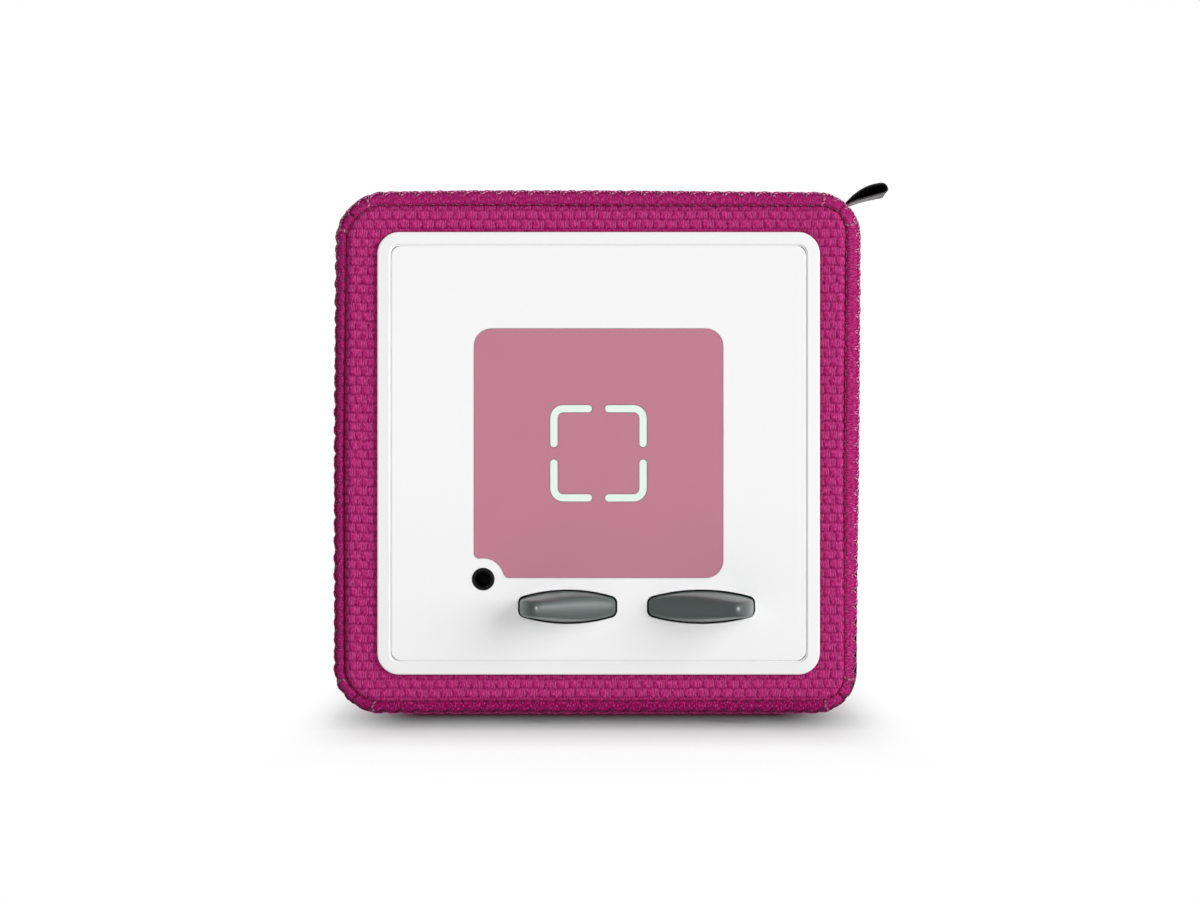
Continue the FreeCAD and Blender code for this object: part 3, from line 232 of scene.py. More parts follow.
class CoverSettings(bpy.types.PropertyGroup):
    """Sizes and colours of the sewn cover."""

    weave_row: length("Weave row", "Height of one row of the weave", 2.1)
    weave_pitch: length("Weave pitch", "Width of one float and its two ribs", 2.78)
    weave_relief: length("Weave relief", "How far a float stands up", 0.28)
    stitch_pitch: length("Stitch pitch", "Length of one overlock stitch", 3.7)
    thread: length("Thread", "Thickness of the seam thread", 0.42)
    cloth_crest: colour("Cloth crest", "Top of the weave", "#c22a7d")
    cloth_valley: colour("Cloth valley", "Bottom of the weave", "#80044a")
    # The fibre colour also paints the ribs' crests and each float's right and top edge pale, as a
    # painted highlight.
    cloth_fibre: colour("Cloth fibre", "Pale filaments, and the ribs beside each float", "#cf5798")
    # The two thread colours are its painted light and shade: pale towards the upper right, dark towards
    # the lower left, in the seam's valley and between the plies.
    thread_colour: colour("Thread colour", "Seam thread where it is worn", "#e58dba")
    thread_shade: colour("Thread shade", "Seam thread where it is new", "#560d35")
    # The ribbon's lower leaf is painted in the lighter colour, as if lit, and its upper leaf black.
    ribbon_colour: colour("Ribbon colour", "Upper leaf of the ribbon tag", "#121112")
    ribbon_reverse: colour("Ribbon reverse", "Lower leaf of the ribbon tag", "#403f41")


class PanelSettings(bpy.types.PropertyGroup):
    """Colours of the moulded panel."""

    frame_colour: colour("Frame", "Frame round the panel", "#f2f2f2")
    plate_colour: colour("Plate", "Face plate", "#f4f4f4")
    pad_colour: colour("Pad", "Landing pad", "#bb788d")
    mark_colour: colour("Mark", "Light guide in the pad", "#e4f4ec")
    ear_colour: colour("Ears", "Ear-shaped keys", "#59615f")
    back_colour: colour("Back", "Back plate", "#e6e6e5")


def level(name, description, default, **unit):
    """A lamp's level, which can't be negative."""
    return bpy.props.FloatProperty(
        name=name, description=description, default=default, min=0.0, **unit
    )


class StageSettings(bpy.types.PropertyGroup):
    """Light and floor of the stage."""

    key_strength: level("Key light", "Irradiance of the key light", 2.75)
    fill_strength: level("Fill light", "Irradiance of the fill light", 0.64)
    back_strength: level("Back light", "Irradiance of the light on the back", 1.6)
    overhead_power: level(
        "Overhead light", "Power of the softbox over the floor", 44.0, unit="POWER"
    )
    top_strength: level("Top light", "Irradiance of the light on the top and the back", 1.8)
    sky_strength: level("Sky", "Strength of the studio's even light", 0.17)


# ---------------------------------------------------------------- shading helpers

FLOW_MM = 14               # length of the flow marks that moulding leaves in a polymer
BUNDLE_WIDTH, BUNDLE_LENGTH = 0.28, 0.8
RIBBON_RIB = 0.6905
PORE = 1.1
WAVE_RUN = math.pi / 10    # the run of one band of a wave texture at scale 1


def add_node(tree, kind, inputs=None, to=None, **settings):
    """Adds a node with its settings. An input is a value, a node or one of a node's outputs, and
    the node's own result goes to the socket given."""
    node = tree.nodes.new(kind)
    for name, value in settings.items():
        setattr(node, name, value)
    for name, value in (inputs or {}).items():
        if isinstance(value, bpy.types.Node):
            value = next(output for output in value.outputs if output.enabled)
        if isinstance(value, bpy.types.NodeSocket):
            tree.links.new(value, node.inputs[name])
        else:
            node.inputs[name].default_value = value
    if to is not None:
        tree.links.new(next(output for output in node.outputs if output.enabled), to)
    return node


def new_material(name, **values):
    """A material with one Principled shader whose sockets have the values given."""
    material = bpy.data.materials.new(name)
    material.use_nodes = True
    tree = material.node_tree
    shader = tree.nodes["Principled BSDF"]
    for socket, value in values.items():
        shader.inputs[socket.replace("_", " ")].default_value = value
    return material, tree, shader


def moulded(name, tint, roughness, grain_mm, grain_depth_mm, mottle, **sockets):
    """A moulded or plain solid: one even colour with slight flow marks and a fine grain."""
    material, tree, shader = new_material(name, Roughness=roughness, **sockets)
    place = add_node(tree, "ShaderNodeTexCoord").outputs["Object"]
    flow = add_node(
        tree, "ShaderNodeTexNoise", {"Vector": place, "Scale": 1 / (FLOW_MM * MM), "Detail": 2.0}
    )
    dark, light = (
        tuple(min(1.0, channel * share) for channel in tint[:3]) + (1.0,)
        for share in (1 - mottle, 1 + mottle)
    )
    add_node(
        tree, "ShaderNodeMix", {"Factor": flow, "A": dark, "B": light},
        to=shader.inputs["Base Color"], data_type="RGBA",
    )
    grain = add_node(
        tree, "ShaderNodeTexNoise", {"Vector": place, "Scale": 1 / (grain_mm * MM), "Detail": 1.0}
    )
    add_node(
        tree, "ShaderNodeBump", {"Height": grain, "Distance": grain_depth_mm * MM, "Strength": 1.0},
        to=shader.inputs["Normal"],
    )
    return material


# ---------------------------------------------------------------- fabrics and threads

def woven_polyester(cover):
    """Dyed polyester in a matt weave: no gloss, hardly any sheen, darker between the yarns, partly dye
    and partly painted shade.
    """
    material, tree, shader = new_material(
        "woven_polyester", Roughness=0.85, Sheen_Weight=0.03, Sheen_Roughness=0.4,
        Sheen_Tint=srgb("#e07fb4"), Specular_IOR_Level=0.06,
    )
    fabric = add_node(tree, "ShaderNodeUVMap", uv_map="fabric")
    # The relief attribute carries the weave's tone, together with the painted shade that each sheet puts
    # into it.
    relief = add_node(tree, "ShaderNodeAttribute", attribute_name="relief").outputs["Fac"]
    ribs = add_node(tree, "ShaderNodeAttribute", attribute_name="ribs").outputs["Fac"]
    # Filaments are 0.02 mm and far too fine to show, so bundles of 0.28 mm stand for them.
    weave_scale = (1 / BUNDLE_WIDTH, 1 / BUNDLE_LENGTH, 1)
    bundles = add_node(tree, "ShaderNodeMapping", {"Vector": fabric, "Scale": weave_scale})
    fibre = add_node(tree, "ShaderNodeTexNoise", {"Vector": bundles, "Scale": 1.0, "Detail": 3.0})
    spread = add_node(
        tree, "ShaderNodeMapRange",
        {"Value": fibre, "From Min": 0.3, "From Max": 0.7, "To Min": -0.38, "To Max": 0.66},
    )
    height = add_node(
        tree, "ShaderNodeMath", {0: relief, 1: 0.5, 2: spread}, operation="MULTIPLY_ADD",
        use_clamp=True,
    )
    body = add_node(
        tree, "ShaderNodeMix",
        {"Factor": height, "A": tuple(cover.cloth_valley), "B": tuple(cover.cloth_crest)},
        data_type="RGBA",
    )
    # Some filaments are raised and catch the light as pale flecks.
    flecks = add_node(
        tree, "ShaderNodeMapRange",
        {"Value": fibre, "From Min": 0.56, "From Max": 0.7, "To Max": 0.65},
    )
    # Painted highlight: where the ribs attribute is high, on the ribs' crests and along each float's
    # right side and top, the colour goes pale.
    lit = add_node(tree, "ShaderNodeMath", {0: ribs, 1: fibre}, operation="MULTIPLY")
    pale = add_node(tree, "ShaderNodeMath", {0: lit, 1: flecks}, operation="MAXIMUM")
    add_node(
        tree, "ShaderNodeMix", {"Factor": pale, "A": body, "B": tuple(cover.cloth_fibre)},
        to=shader.inputs["Base Color"], data_type="RGBA",
    )
    add_node(
        tree, "ShaderNodeBump", {"Height": fibre, "Distance": 0.1 * MM, "Strength": 1.0},
        to=shader.inputs["Normal"],
    )
    return material


def polyester_thread(cover):
    """Twisted polyester sewing thread: lighter than the cloth, with a silky shine on each ply."""
    material, tree, shader = new_material(
        "polyester_thread", Roughness=0.6, Specular_IOR_Level=0.15
    )
    fabric = add_node(tree, "ShaderNodeUVMap", uv_map="fabric")
    # Scaled so that the plies lie aslant and one comes up every 1.06 mm; V runs once round.
    twist = add_node(tree, "ShaderNodeMapping", {"Vector": fabric, "Scale": (1 / 1.6, 1, 1)})
    plies = add_node(
        tree, "ShaderNodeTexWave", {"Vector": twist, "Scale": 0.95, "Distortion": 0.5},
        bands_direction="DIAGONAL",
    ).outputs["Fac"]
    # Painted light and shade: the thread is paler towards the upper right and darker towards the lower
    # left, darker still in the seam's valley, and dark between its plies.
    painted_light = add_node(tree, "ShaderNodeAttribute", attribute_name="relief").outputs["Fac"]
    tone = add_node(tree, "ShaderNodeMath", {0: plies, 1: painted_light}, operation="MULTIPLY")
    add_node(
        tree, "ShaderNodeMix",
        {"Factor": tone, "A": tuple(cover.thread_shade), "B": tuple(cover.thread_colour)},
        to=shader.inputs["Base Color"], data_type="RGBA",
    )
    add_node(
        tree, "ShaderNodeBump", {"Height": plies, "Distance": 0.08 * MM, "Strength": 1.0},
        to=shader.inputs["Normal"],
    )
    return material


def satin_ribbon(cover):
    """Woven satin ribbon: black, with its lower leaf painted grey as if lit, fine cross ribs and a dull
    shine.
    """
    material, tree, shader = new_material("satin_ribbon", Roughness=0.5, Specular_IOR_Level=0.3)
    fabric = add_node(tree, "ShaderNodeUVMap", uv_map="fabric")
    lit_leaf = add_node(tree, "ShaderNodeAttribute", attribute_name="relief").outputs["Fac"]
    # The ribs run across the ribbon, one in each 0.69 mm of its length.
    ribs = add_node(
        tree, "ShaderNodeTexWave", {"Vector": fabric, "Scale": WAVE_RUN / RIBBON_RIB, "Distortion": 0.6},
        bands_direction="X",
    ).outputs["Fac"]
    flecks = add_node(tree, "ShaderNodeTexNoise", {"Vector": fabric, "Scale": 2.2, "Detail": 2.0})
    woven = add_node(
        tree, "ShaderNodeMapRange",
        {"Value": flecks, "From Min": 0.35, "From Max": 0.65, "To Min": 0.45, "To Max": 1.0},
    )
    tone = add_node(tree, "ShaderNodeMath", {0: lit_leaf, 1: woven}, operation="MULTIPLY")
    add_node(
        tree, "ShaderNodeMix",
        {"Factor": tone, "A": tuple(cover.ribbon_colour), "B": tuple(cover.ribbon_reverse)},
        to=shader.inputs["Base Color"], data_type="RGBA",
    )
    add_node(
        tree, "ShaderNodeBump", {"Height": ribs, "Distance": 0.05 * MM, "Strength": 1.0},
        to=shader.inputs["Normal"],
    )
    return material


def polyurethane_foam():
    """Open-cell foam: matt, pale, with pores about a millimetre wide."""
    material, tree, shader = new_material("polyurethane_foam", Roughness=0.95)
    place = add_node(tree, "ShaderNodeTexCoord").outputs["Object"]
    pores = add_node(tree, "ShaderNodeTexVoronoi", {"Vector": place, "Scale": 1 / (PORE * MM)})
    add_node(
        tree, "ShaderNodeMix", {"Factor": pores, "A": srgb("#b9b39c"), "B": srgb("#d6d2c2")},
        to=shader.inputs["Base Color"], data_type="RGBA",
    )
    add_node(
        tree, "ShaderNodeBump", {"Height": pores, "Distance": 0.4 * MM, "Strength": 1.0},
        to=shader.inputs["Normal"],
    )
    return material


# ---------------------------------------------------------------- shapes

def stations_at(way):
    """Stations at lengths along the cube's outline: a side starts at each even one, a round
    corner at each odd one."""
    return np.interp(way, WAY_MARKS, STATIONS)


def walk(shares):
    """Stations at shares 0 to 1 of the way round the cube."""
    return stations_at(shares * WAY_ROUND)


def way_round(stations):
    """Length of the cube's outline from its start to the stations, the inverse of stations_at()."""
    return np.interp(stations, STATIONS, WAY_MARKS)


def rounded_square(stations, half, radius):
    """X and z at stations round a square with round corners, and the outward direction."""
    stretch = np.minimum(stations.astype(int), 7)
    share = stations - stretch
    in_corner = stretch % 2 == 1
    angle = np.where(in_corner, share * math.pi / 2, 0.0)
    run = half - radius
    out = run + radius * np.cos(angle)
    along = np.where(in_corner, run + radius * np.sin(angle), run * (2 * share - 1))
    quarter = (stretch // 2) * math.pi / 2
    x = out * np.cos(quarter) - along * np.sin(quarter)
    z = out * np.sin(quarter) + along * np.cos(quarter)
    return x, z + MID_Z, quarter + angle


def outline(stations, outward):
    """X and z round the cube, moved outward by a distance of its own at each station."""
    return rounded_square(stations, HALF + outward, CORNER_RADIUS + outward)[:2]


def proud(stations):
    """How far the stuffed cover stands out from the cube."""
    return np.interp(stations, PROUD_STATIONS, PROUD)


def seam_inset(stations):
    """How far in the seam between face and roll runs."""
    return np.interp(stations, SEAM_STATIONS, SEAM_INSET)


def rounded_square_distance(x, z, half, radius):
    """Distance from the edge of a square with round corners, positive outside it."""
    across = np.abs(x) - (half - radius)
    up = np.abs(z - MID_Z) - (half - radius)
    outside = np.hypot(np.maximum(across, 0), np.maximum(up, 0))
    return outside + np.minimum(np.maximum(across, up), 0) - radius


def ease(share):
    """A smooth step from 0 to 1."""
    share = np.clip(share, 0, 1)
    return share * share * (3 - 2 * share)


def bump(place, middle, width):
    """A soft bump, 1 at its middle, that has faded out at twice its width."""
    return np.exp(-(((place - middle) / width) ** 2))


def corner_station(angle):
    """The station in the round corner that faces an angle, in degrees from +x to +z."""
    quarter = angle // 90
    return 2 * quarter + 1 + (angle - 90 * quarter) / 90


def basket_weave(along, across, pitch, row):
    """Height, tone and rib share, 0 to 1, of a matt weave: a flat float, then two ribs, half a
    pitch on in each row. The tone is darker in the valleys, partly dye and partly painted shade, and
    darker at each float's left side and foot as painted shade; the rib share marks pale painted
    highlights. Rows and floats wander a little, as in cloth pulled over foam."""
    along = along + 0.14 * np.sin(across * 0.9 + 2 * np.sin(along * 0.13))
    across = across + 0.10 * np.sin(along * 0.45) + 0.06 * np.sin(along * 2.3 + across)
    line = np.floor(across / row)
    rise = across / row - line
    place = along / pitch + 0.5 * (line % 2)
    cell = np.floor(place)
    share = place - cell
    in_float = share < FLOAT_SHARE
    part = np.where(in_float, share / FLOAT_SHARE, (share - FLOAT_SHARE) / (1 - FLOAT_SHARE))
    level = 1 - np.abs(2 * rise - 1) ** 4
    puff = (1 - np.abs(2 * part - 1) ** 4) * level
    lean = 0.82 + 0.18 * (1 - part) * (1 - rise) + 0.08 * np.sin(9.1 * cell + 5.7 * line)
    rib = np.abs(np.sin(2 * math.pi * part)) ** 0.8 * level
    height = np.clip(np.where(in_float, puff ** 0.75 * lean, 0.74 * rib), 0, 1)
    # Painted shade: each float's tone is darker at its left side and at its foot.
    side_shade = 0.6 + 0.4 * ease(part / 0.45)
    foot_shade = 0.5 + 0.5 * ease(rise / 0.4)
    tone = np.where(in_float, side_shade * (0.2 + 0.7 * puff), 0.15 + 0.7 * rib) * foot_shade
    # Painted highlight: a pale line at a float's right side and top, where the yarns bend over and would
    # catch the light.
    rim = np.maximum(bump(part, 0.86, 0.09) * level, 0.5 * bump(rise, 0.82, 0.1))
    return height, tone, np.where(in_float, 0.15 * puff + 0.8 * rim, rib)


def shaped_sheet(name, columns, rows, place):
    """A grid of faces laid by place(u, v): points, fabric coordinates, and the tones stored as relief
    and ribs, which carry painted light and shade on the cloth, the thread and the ribbon.
    """
    bm = bmesh.new()
    bmesh.ops.create_grid(bm, x_segments=columns, y_segments=rows, size=1.0)
    mesh = bpy.data.meshes.new(name)
    bm.to_mesh(mesh)
    bm.free()
    flat = np.empty(len(mesh.vertices) * 3)
    mesh.vertices.foreach_get("co", flat)
    u, v = (flat.reshape(-1, 3)[:, :2].T + 1) / 2
    points, fabric, *tones = place(u, v)
    mesh.vertices.foreach_set("co", np.ascontiguousarray(points, float).ravel())
    corner = np.empty(len(mesh.loops), int)
    mesh.loops.foreach_get("vertex_index", corner)
    layer = mesh.uv_layers.new(name="fabric")
    layer.data.foreach_set("uv", np.ascontiguousarray(fabric[corner], float).ravel())
    for tone_name, values in zip(("relief", "ribs"), tones):
        tone = mesh.attributes.new(tone_name, "FLOAT", "POINT")
        tone.data.foreach_set("value", np.ascontiguousarray(values, float))
    return mesh


def joined(name, meshes):
    """One mesh out of several, which are then removed."""
    bm = bmesh.new()
    for mesh in meshes:
        bm.from_mesh(mesh)
    whole = bpy.data.meshes.new(name)
    bm.to_mesh(whole)
    bm.free()
    for mesh in meshes:
        bpy.data.meshes.remove(mesh)
    return whole


def new_object(name, data):
    """An object in the scene that holds a mesh, a lamp or the camera."""
    piece = bpy.data.objects.new(name, data)
    bpy.context.scene.collection.objects.link(piece)
    return piece


def finish_piece(
    name, mesh, material, body="housing", replaces=(), flip=False, sharp=None
):
    """Welds a mesh, turns it to metres, shades it, and makes it a piece that rides on its body."""
    bm = bmesh.new()
    bm.from_mesh(mesh)
    bmesh.ops.remove_doubles(bm, verts=bm.verts, dist=1e-4)
    if flip:
        bmesh.ops.reverse_faces(bm, faces=bm.faces)
    bmesh.ops.scale(bm, vec=(MM, MM, MM), verts=bm.verts)
    bm.to_mesh(mesh)
    bm.free()
    mesh.name = name
    mesh.shade_smooth()
    if sharp is not None:
        mesh.set_sharp_from_angle(angle=sharp)
    mesh.materials.append(material)
    piece = new_object(name, mesh)
    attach(piece, body)
    if replaces:
        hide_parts(*replaces)
    return piece


# ---------------------------------------------------------------- the cover

def face_cloth(cover, face):
    """The padded border of the front or back, from the roll's seam to under the lip."""
    row, pitch, relief_mm = cover.weave_row / MM, cover.weave_pitch / MM, cover.weave_relief / MM
    tuck_half, tuck_radius = face.lip_half - LIP_COVERS, face.lip_radius - LIP_COVERS

    def place(u, v):
        stations = walk(u)
        inset = seam_inset(stations) - SEAM_OVERLAP
        outer = np.stack(outline(stations, proud(stations) * FACE_FOLLOWS - inset), 1)
        inner = np.stack(rounded_square(stations, tuck_half, tuck_radius)[:2], 1)
        flat = outer + (inner - outer) * v[:, None]
        from_seam = v * np.hypot(*(inner - outer).T)
        from_lip = rounded_square_distance(flat[:, 0], flat[:, 1], face.lip_half, face.lip_radius)
        press = ease((from_lip + 0.3) / LIP_RISE)
        swell = ease(from_seam / FACE_RISE) ** 0.6 * (0.45 + 0.55 * press)
        weave, tone, ribs = basket_weave(flat[:, 0], flat[:, 1], pitch, row)
        # The weave is pulled flat beside the seam and the lip, and its tone is darkened there as painted
        # shade.
        shown = 0.3 + 0.7 * ease((from_lip + 0.2) / 0.9) * ease(from_seam / 0.8)
        depth = SEAM_DEPTH + (CROWN - SEAM_DEPTH) * swell - relief_mm * (1 - weave * shown)
        depth = np.where(from_lip < 0, np.minimum(depth, LIP_CLOTH), depth)
        points = np.stack([flat[:, 0], face.side * depth, flat[:, 1]], 1)
        return points, flat, tone * (0.6 + 0.4 * shown), ribs * shown

    name = f"cloth_{face.label}"
    piece = finish_piece(
        name, shaped_sheet(name, 2400, 40, place), MATERIALS["woven_polyester"],
        replaces=(f"cover_{face.label}",), flip=face.side > 0,
    )


def roll_section(turn, inset):
    """Outward place and depth of the roll's section, for a turn from its outer to its inner edge."""
    half_width = (inset - ROLL_TUCK + SEAM_OVERLAP) / 2
    middle = -(inset + ROLL_TUCK + SEAM_OVERLAP) / 2
    cosine, sine = np.cos(turn), np.sin(turn)
    fullness = np.where(cosine > 0, 1.0, 2 / ROLL_FULLNESS)
    across = np.sign(cosine) * np.abs(cosine) ** fullness
    rise = np.sign(sine) * np.abs(sine) ** fullness
    return middle + half_width * across, ROLL_DEPTH + ROLL_RISE * rise - ROLL_TILT * across


def near_joint(stations):
    """1 at the roll's corner joints, falling to 0 beside them."""
    joints = [way_round(corner_station(angle)) for angle in JOINT_ANGLES]
    return np.max([bump(way_round(stations), joint, JOINT_WIDTH) for joint in joints], axis=0)


def edge_roll(cover, face):
    """The rolled edge of the front or back: a narrow stuffed band, pinched at its corner joints."""
    pitch = WAY_ROUND / round(WAY_ROUND / (cover.stitch_pitch / MM))

    def place(u, v):
        stations = walk(u)
        way = way_round(stations)
        turn = ROLL_START + ROLL_WRAP * v
        out, depth = roll_section(turn, seam_inset(stations))
        outer, middle = np.clip(np.cos(turn), 0, 1), np.clip(np.sin(turn), 0, 1)
        strip = (0.5 - v) * ROLL_STRIP
        weave, weave_tone_and_shade, ribs = basket_weave(way, strip, cover.weave_pitch / MM, ROLL_ROW)
        # Each stitch pulls a dent into the outer edge, and each corner joint pinches the roll.
        pull = np.abs(np.sin(math.pi * way / pitch)) ** 0.6
        pinch = near_joint(stations)
        depth = depth - 0.28 * outer * (1 - pull) - JOINT_PINCH * pinch * middle
        depth = depth + 0.08 * (weave - 1) * np.sin(turn) + 0.10 * np.sin(way * 0.23) * np.sin(turn)
        out = out + proud(stations) - 0.12 * outer * (1 - pull) - 0.3 * pinch * outer
        x, z = outline(stations, out)
        points = np.stack([x, face.side * depth, z], 1)
        # Painted shade: the roll's tone is darkened on its flanks, at its corner joints and all along
        # the base, where it gets no painted highlight either.
        crest = middle ** 2
        under = ease((stations - 5.3) / 0.6) * ease((7.4 - stations) / 0.4)
        tone = (0.3 + 0.35 * weave_tone_and_shade) * (1 - 0.8 * pinch) * (0.3 + 0.7 * crest) * (1 - 0.95 * under)
        fabric = np.stack([way, v * ROLL_STRIP], 1)
        return points, fabric, tone, 0.4 * ribs * crest * (1 - under)

    name = f"roll_{face.label}"
    piece = finish_piece(
        name, shaped_sheet(name, 2400, 30, place), MATERIALS["woven_polyester"],
        replaces=(f"edge_roll_{face.label}",), flip=face.side > 0,
    )


def side_cloth(cover, name, quarter):
    """One of the four side panels, from the middle of one corner to the middle of the next."""
    row, pitch, relief_mm = cover.weave_row / MM, cover.weave_pitch / MM, cover.weave_relief / MM
    stitch = WAY_ROUND / round(WAY_ROUND / (cover.stitch_pitch / MM))
    upright, underside = quarter % 2 == 0, quarter == 3

    def place(u, v):
        way = ((quarter + u) * WAY_ROUND / 4 - CORNER_RADIUS * math.pi / 4) % WAY_ROUND
        stations = stations_at(way)
        depth = PANEL_VALLEY * (1 - 2 * v)
        from_seam = PANEL_VALLEY - np.abs(depth)
        run = (u - 0.5) * 2
        shoulder = ease(from_seam / SHOULDER) ** 0.7
        crown = SIDE_CROWN * (1 - (depth / PANEL_VALLEY) ** 2) * (1 - run**4)
        # The stitches gather the cloth into puffs, which are fullest on the left and below.
        gathered = ease((stations - 2.9) / 1.0) * ease((7.6 - stations) / 0.8)
        puff = (0.10 + 0.30 * gathered) * np.abs(np.sin(math.pi * way / stitch)) ** 0.8
        puff = puff * bump(from_seam, PUFF_PLACE, PUFF_PLACE)
        near_end = bump((1 - np.abs(run)) * PANEL_HALF, 0, END_WIDTH)
        out = -VALLEY_INSET + (VALLEY_INSET + proud(stations)) * shoulder + puff + crown
        out = out - END_DIP * near_end * shoulder
        fabric = (depth, way) if upright else (way, depth)
        weave, tone, ribs = basket_weave(*fabric, pitch, row)
        # The weave is pulled flat beside the seams, and its tone is darkened there as painted shade.
        shown = 0.25 + 0.75 * ease(from_seam / 1.2)
        relief = relief_mm * (1 - weave) * shown
        out = out - relief
        if underside:
            out = np.minimum(out, STAND_CLEAR - relief)
        x, z = outline(stations, out)
        points = np.stack([x, depth, z], 1)
        return points, np.stack(fabric, 1), tone * (0.4 + 0.6 * shown), ribs * shown

    piece = finish_piece(
        name, shaped_sheet(name, 306, 320, place), MATERIALS["woven_polyester"],
        replaces=("cover_sides", "edge_roll_front", "edge_roll_back"),
    )


# ---------------------------------------------------------------- threads

def thread_mesh(centres, radius, sides=6, palest=1.0, darkest=0.05):
    """A thread along the centres: a grid rolled round them, with its twist in the UV map."""
    steps = len(centres) - 1
    ahead = np.gradient(centres, axis=0)
    ahead /= np.linalg.norm(ahead, axis=1)[:, None]
    across = np.cross(ahead, np.array([0.31, 0.86, 0.41]))
    across /= np.linalg.norm(across, axis=1)[:, None]
    above = np.cross(across, ahead)
    gone = np.concatenate([[0.0], np.cumsum(np.linalg.norm(np.diff(centres, axis=0), axis=1))])
    # Painted light: the thread is paler towards the upper right and darker towards the lower left.
    painted_light = ease(0.5 + (centres[:, 0] + 1.3 * (centres[:, 2] - MID_Z)) / 60)
    painted_light = darkest + (palest - darkest) * painted_light

    def place(u, v):
        index = np.rint(u * steps).astype(int)
        angle = 2 * math.pi * v
        ring = across[index] * np.cos(angle)[:, None] + above[index] * np.sin(angle)[:, None]
        points = centres[index] + ring * radius
        return points, np.stack([gone[index], v], 1), painted_light[index]

    return shaped_sheet("thread", steps, sides, place)


def overlock_path(pitch, side):
    """The seam thread round one face: out of a hole, along the edge, and back in, at each stitch."""
    count = round(WAY_ROUND / pitch)
    number = np.arange(count * STITCH_STEPS + 1) / STITCH_STEPS
    stitch = np.minimum(np.floor(number), count - 1)
    phase = number - stitch
    way = (stitch + phase) * WAY_ROUND / count
    stations = walk(way / WAY_ROUND)
    # The stitches lean one way on the top and the left, and the other on the right and below.
    peak = np.where((stations > 1.5) & (stations < 5.5), STITCH_LEAN, 1 - STITCH_LEAN)
    reach = np.where(phase < peak, phase / peak, (1 - phase) / (1 - peak))
    arch = np.sin(np.clip(reach * 1.4, 0, 1) * math.pi / 2)
    turn = 1.15 - 0.85 * arch
    out, depth = roll_section(turn, seam_inset(stations))
    lift = THREAD_LIFT - 0.5 * bump(reach, 0, 0.12)
    out = out + proud(stations) + lift * np.cos(turn)
    depth = depth + lift * np.sin(turn)
    x, z = outline(stations, out)
    return np.stack([x, side * depth, np.maximum(z, THREAD_LOWEST)], 1)


def tack_path(angle, side, shift):
    """A bar tack's thread over the roll, from its inner seam to just past the outline."""
    share = np.linspace(0, 1, 12)
    way = way_round(corner_station(angle)) + shift + 0.25 * np.sin(share * math.pi * 3)
    stations = stations_at(way)
    turn = math.pi * (1 - share) * 1.02 - 0.1
    out, depth = roll_section(turn, seam_inset(stations))
    x, z = outline(stations, out + proud(stations) + 0.25 * share)
    return np.stack([x, side * (depth + THREAD_LIFT), z], 1)


def running_paths(side):
    """The small stitches that hold the roll down, seen in its inner seam."""
    count = round(WAY_ROUND / RUNNING_PITCH)
    arch = np.sin(np.linspace(0, math.pi, 6))
    paths = []
    for number in range(count):
        way = np.linspace(0, RUNNING_SEEN, 6) + number * WAY_ROUND / count
        stations = walk(way / WAY_ROUND)
        x, z = outline(stations, -seam_inset(stations) + THREAD_LIFT + proud(stations) * 0.7)
        paths.append(np.stack([x, side * (SEAM_DEPTH + 0.15 + 0.3 * arch), z], 1))
    return paths


def seam_threads(cover, face):
    """Overlock thread, bar tacks and running stitches of one face."""
    radius = cover.thread / MM / 2
    fine = radius * 0.6
    # The bar tacks get only a little of the thread's painted shade; the small stitches in the seam's
    # valley are painted darker, as shade.
    tacks = [
        thread_mesh(tack_path(angle, face.side, shift), fine, darkest=0.65)
        for angle in TACK_ANGLES for shift in TACK_SHIFTS
    ]
    running = [thread_mesh(path, fine, 5, palest=0.35) for path in running_paths(face.side)]
    for name, mesh in (
        ("overlock", thread_mesh(overlock_path(cover.stitch_pitch / MM, face.side), radius)),
        ("bar_tacks", joined("tacks", tacks)),
        ("seam_stitches", joined("running", running)),
    ):
        finish_piece(
            f"{name}_{face.label}", mesh, MATERIALS["polyester_thread"]
        )


def ribbon_tag():
    """The folded ribbon at the top right corner, open towards its fold and turned a little."""
    low, high = box_mm("tag_loop")
    root = Vector((low.x - 0.4, 0, low.z + 0.7))
    tip = Vector((high.x, 0, high.z - 0.5))
    run = (tip - root).length
    slope = math.atan2(tip.z - root.z, tip.x - root.x)

    def place(u, v):
        fold = np.abs(2 * u - 1)
        along = run * (1 - fold**2.2) ** 0.55
        open_here = np.sin(np.clip(along / run, 0, 1) * math.pi * 0.7)
        open_here = open_here * np.clip(fold * 2.6, 0, 1) ** 0.6
        gap = (2.4 - 2.1 * v) * open_here
        lower = u < 0.5
        sag = 0.5 * np.sin(along / run * math.pi) + np.where(lower, -0.4 * gap, 0.6 * gap)
        x = root.x + along * math.cos(slope) - sag * math.sin(slope)
        z = root.z + along * math.sin(slope) + sag * math.cos(slope)
        z = z - 1.1 * v * np.sqrt(along / run)
        y = low.y + (high.y - low.y) * v
        y = y - np.where(lower, 0.0, 0.5) * open_here * (1 - v)
        fabric = np.stack([u * RIBBON_LENGTH, v * RIBBON_WIDTH], 1)
        # The lower leaf is marked 1, and the ribbon's material paints it the lighter colour, as painted
        # light.
        return np.stack([x, y, z], 1), fabric, np.where(lower, 1.0, 0.0)

    mesh = shaped_sheet("ribbon_tag", 64, 16, place)
    piece = finish_piece(
        "ribbon_tag", mesh, MATERIALS["satin_ribbon"], replaces=("tag_loop",)
    )
    thickness = piece.modifiers.new("ribbon", "SOLIDIFY")
    thickness.thickness = RIBBON_THICK * MM
    thickness.offset = 0.0


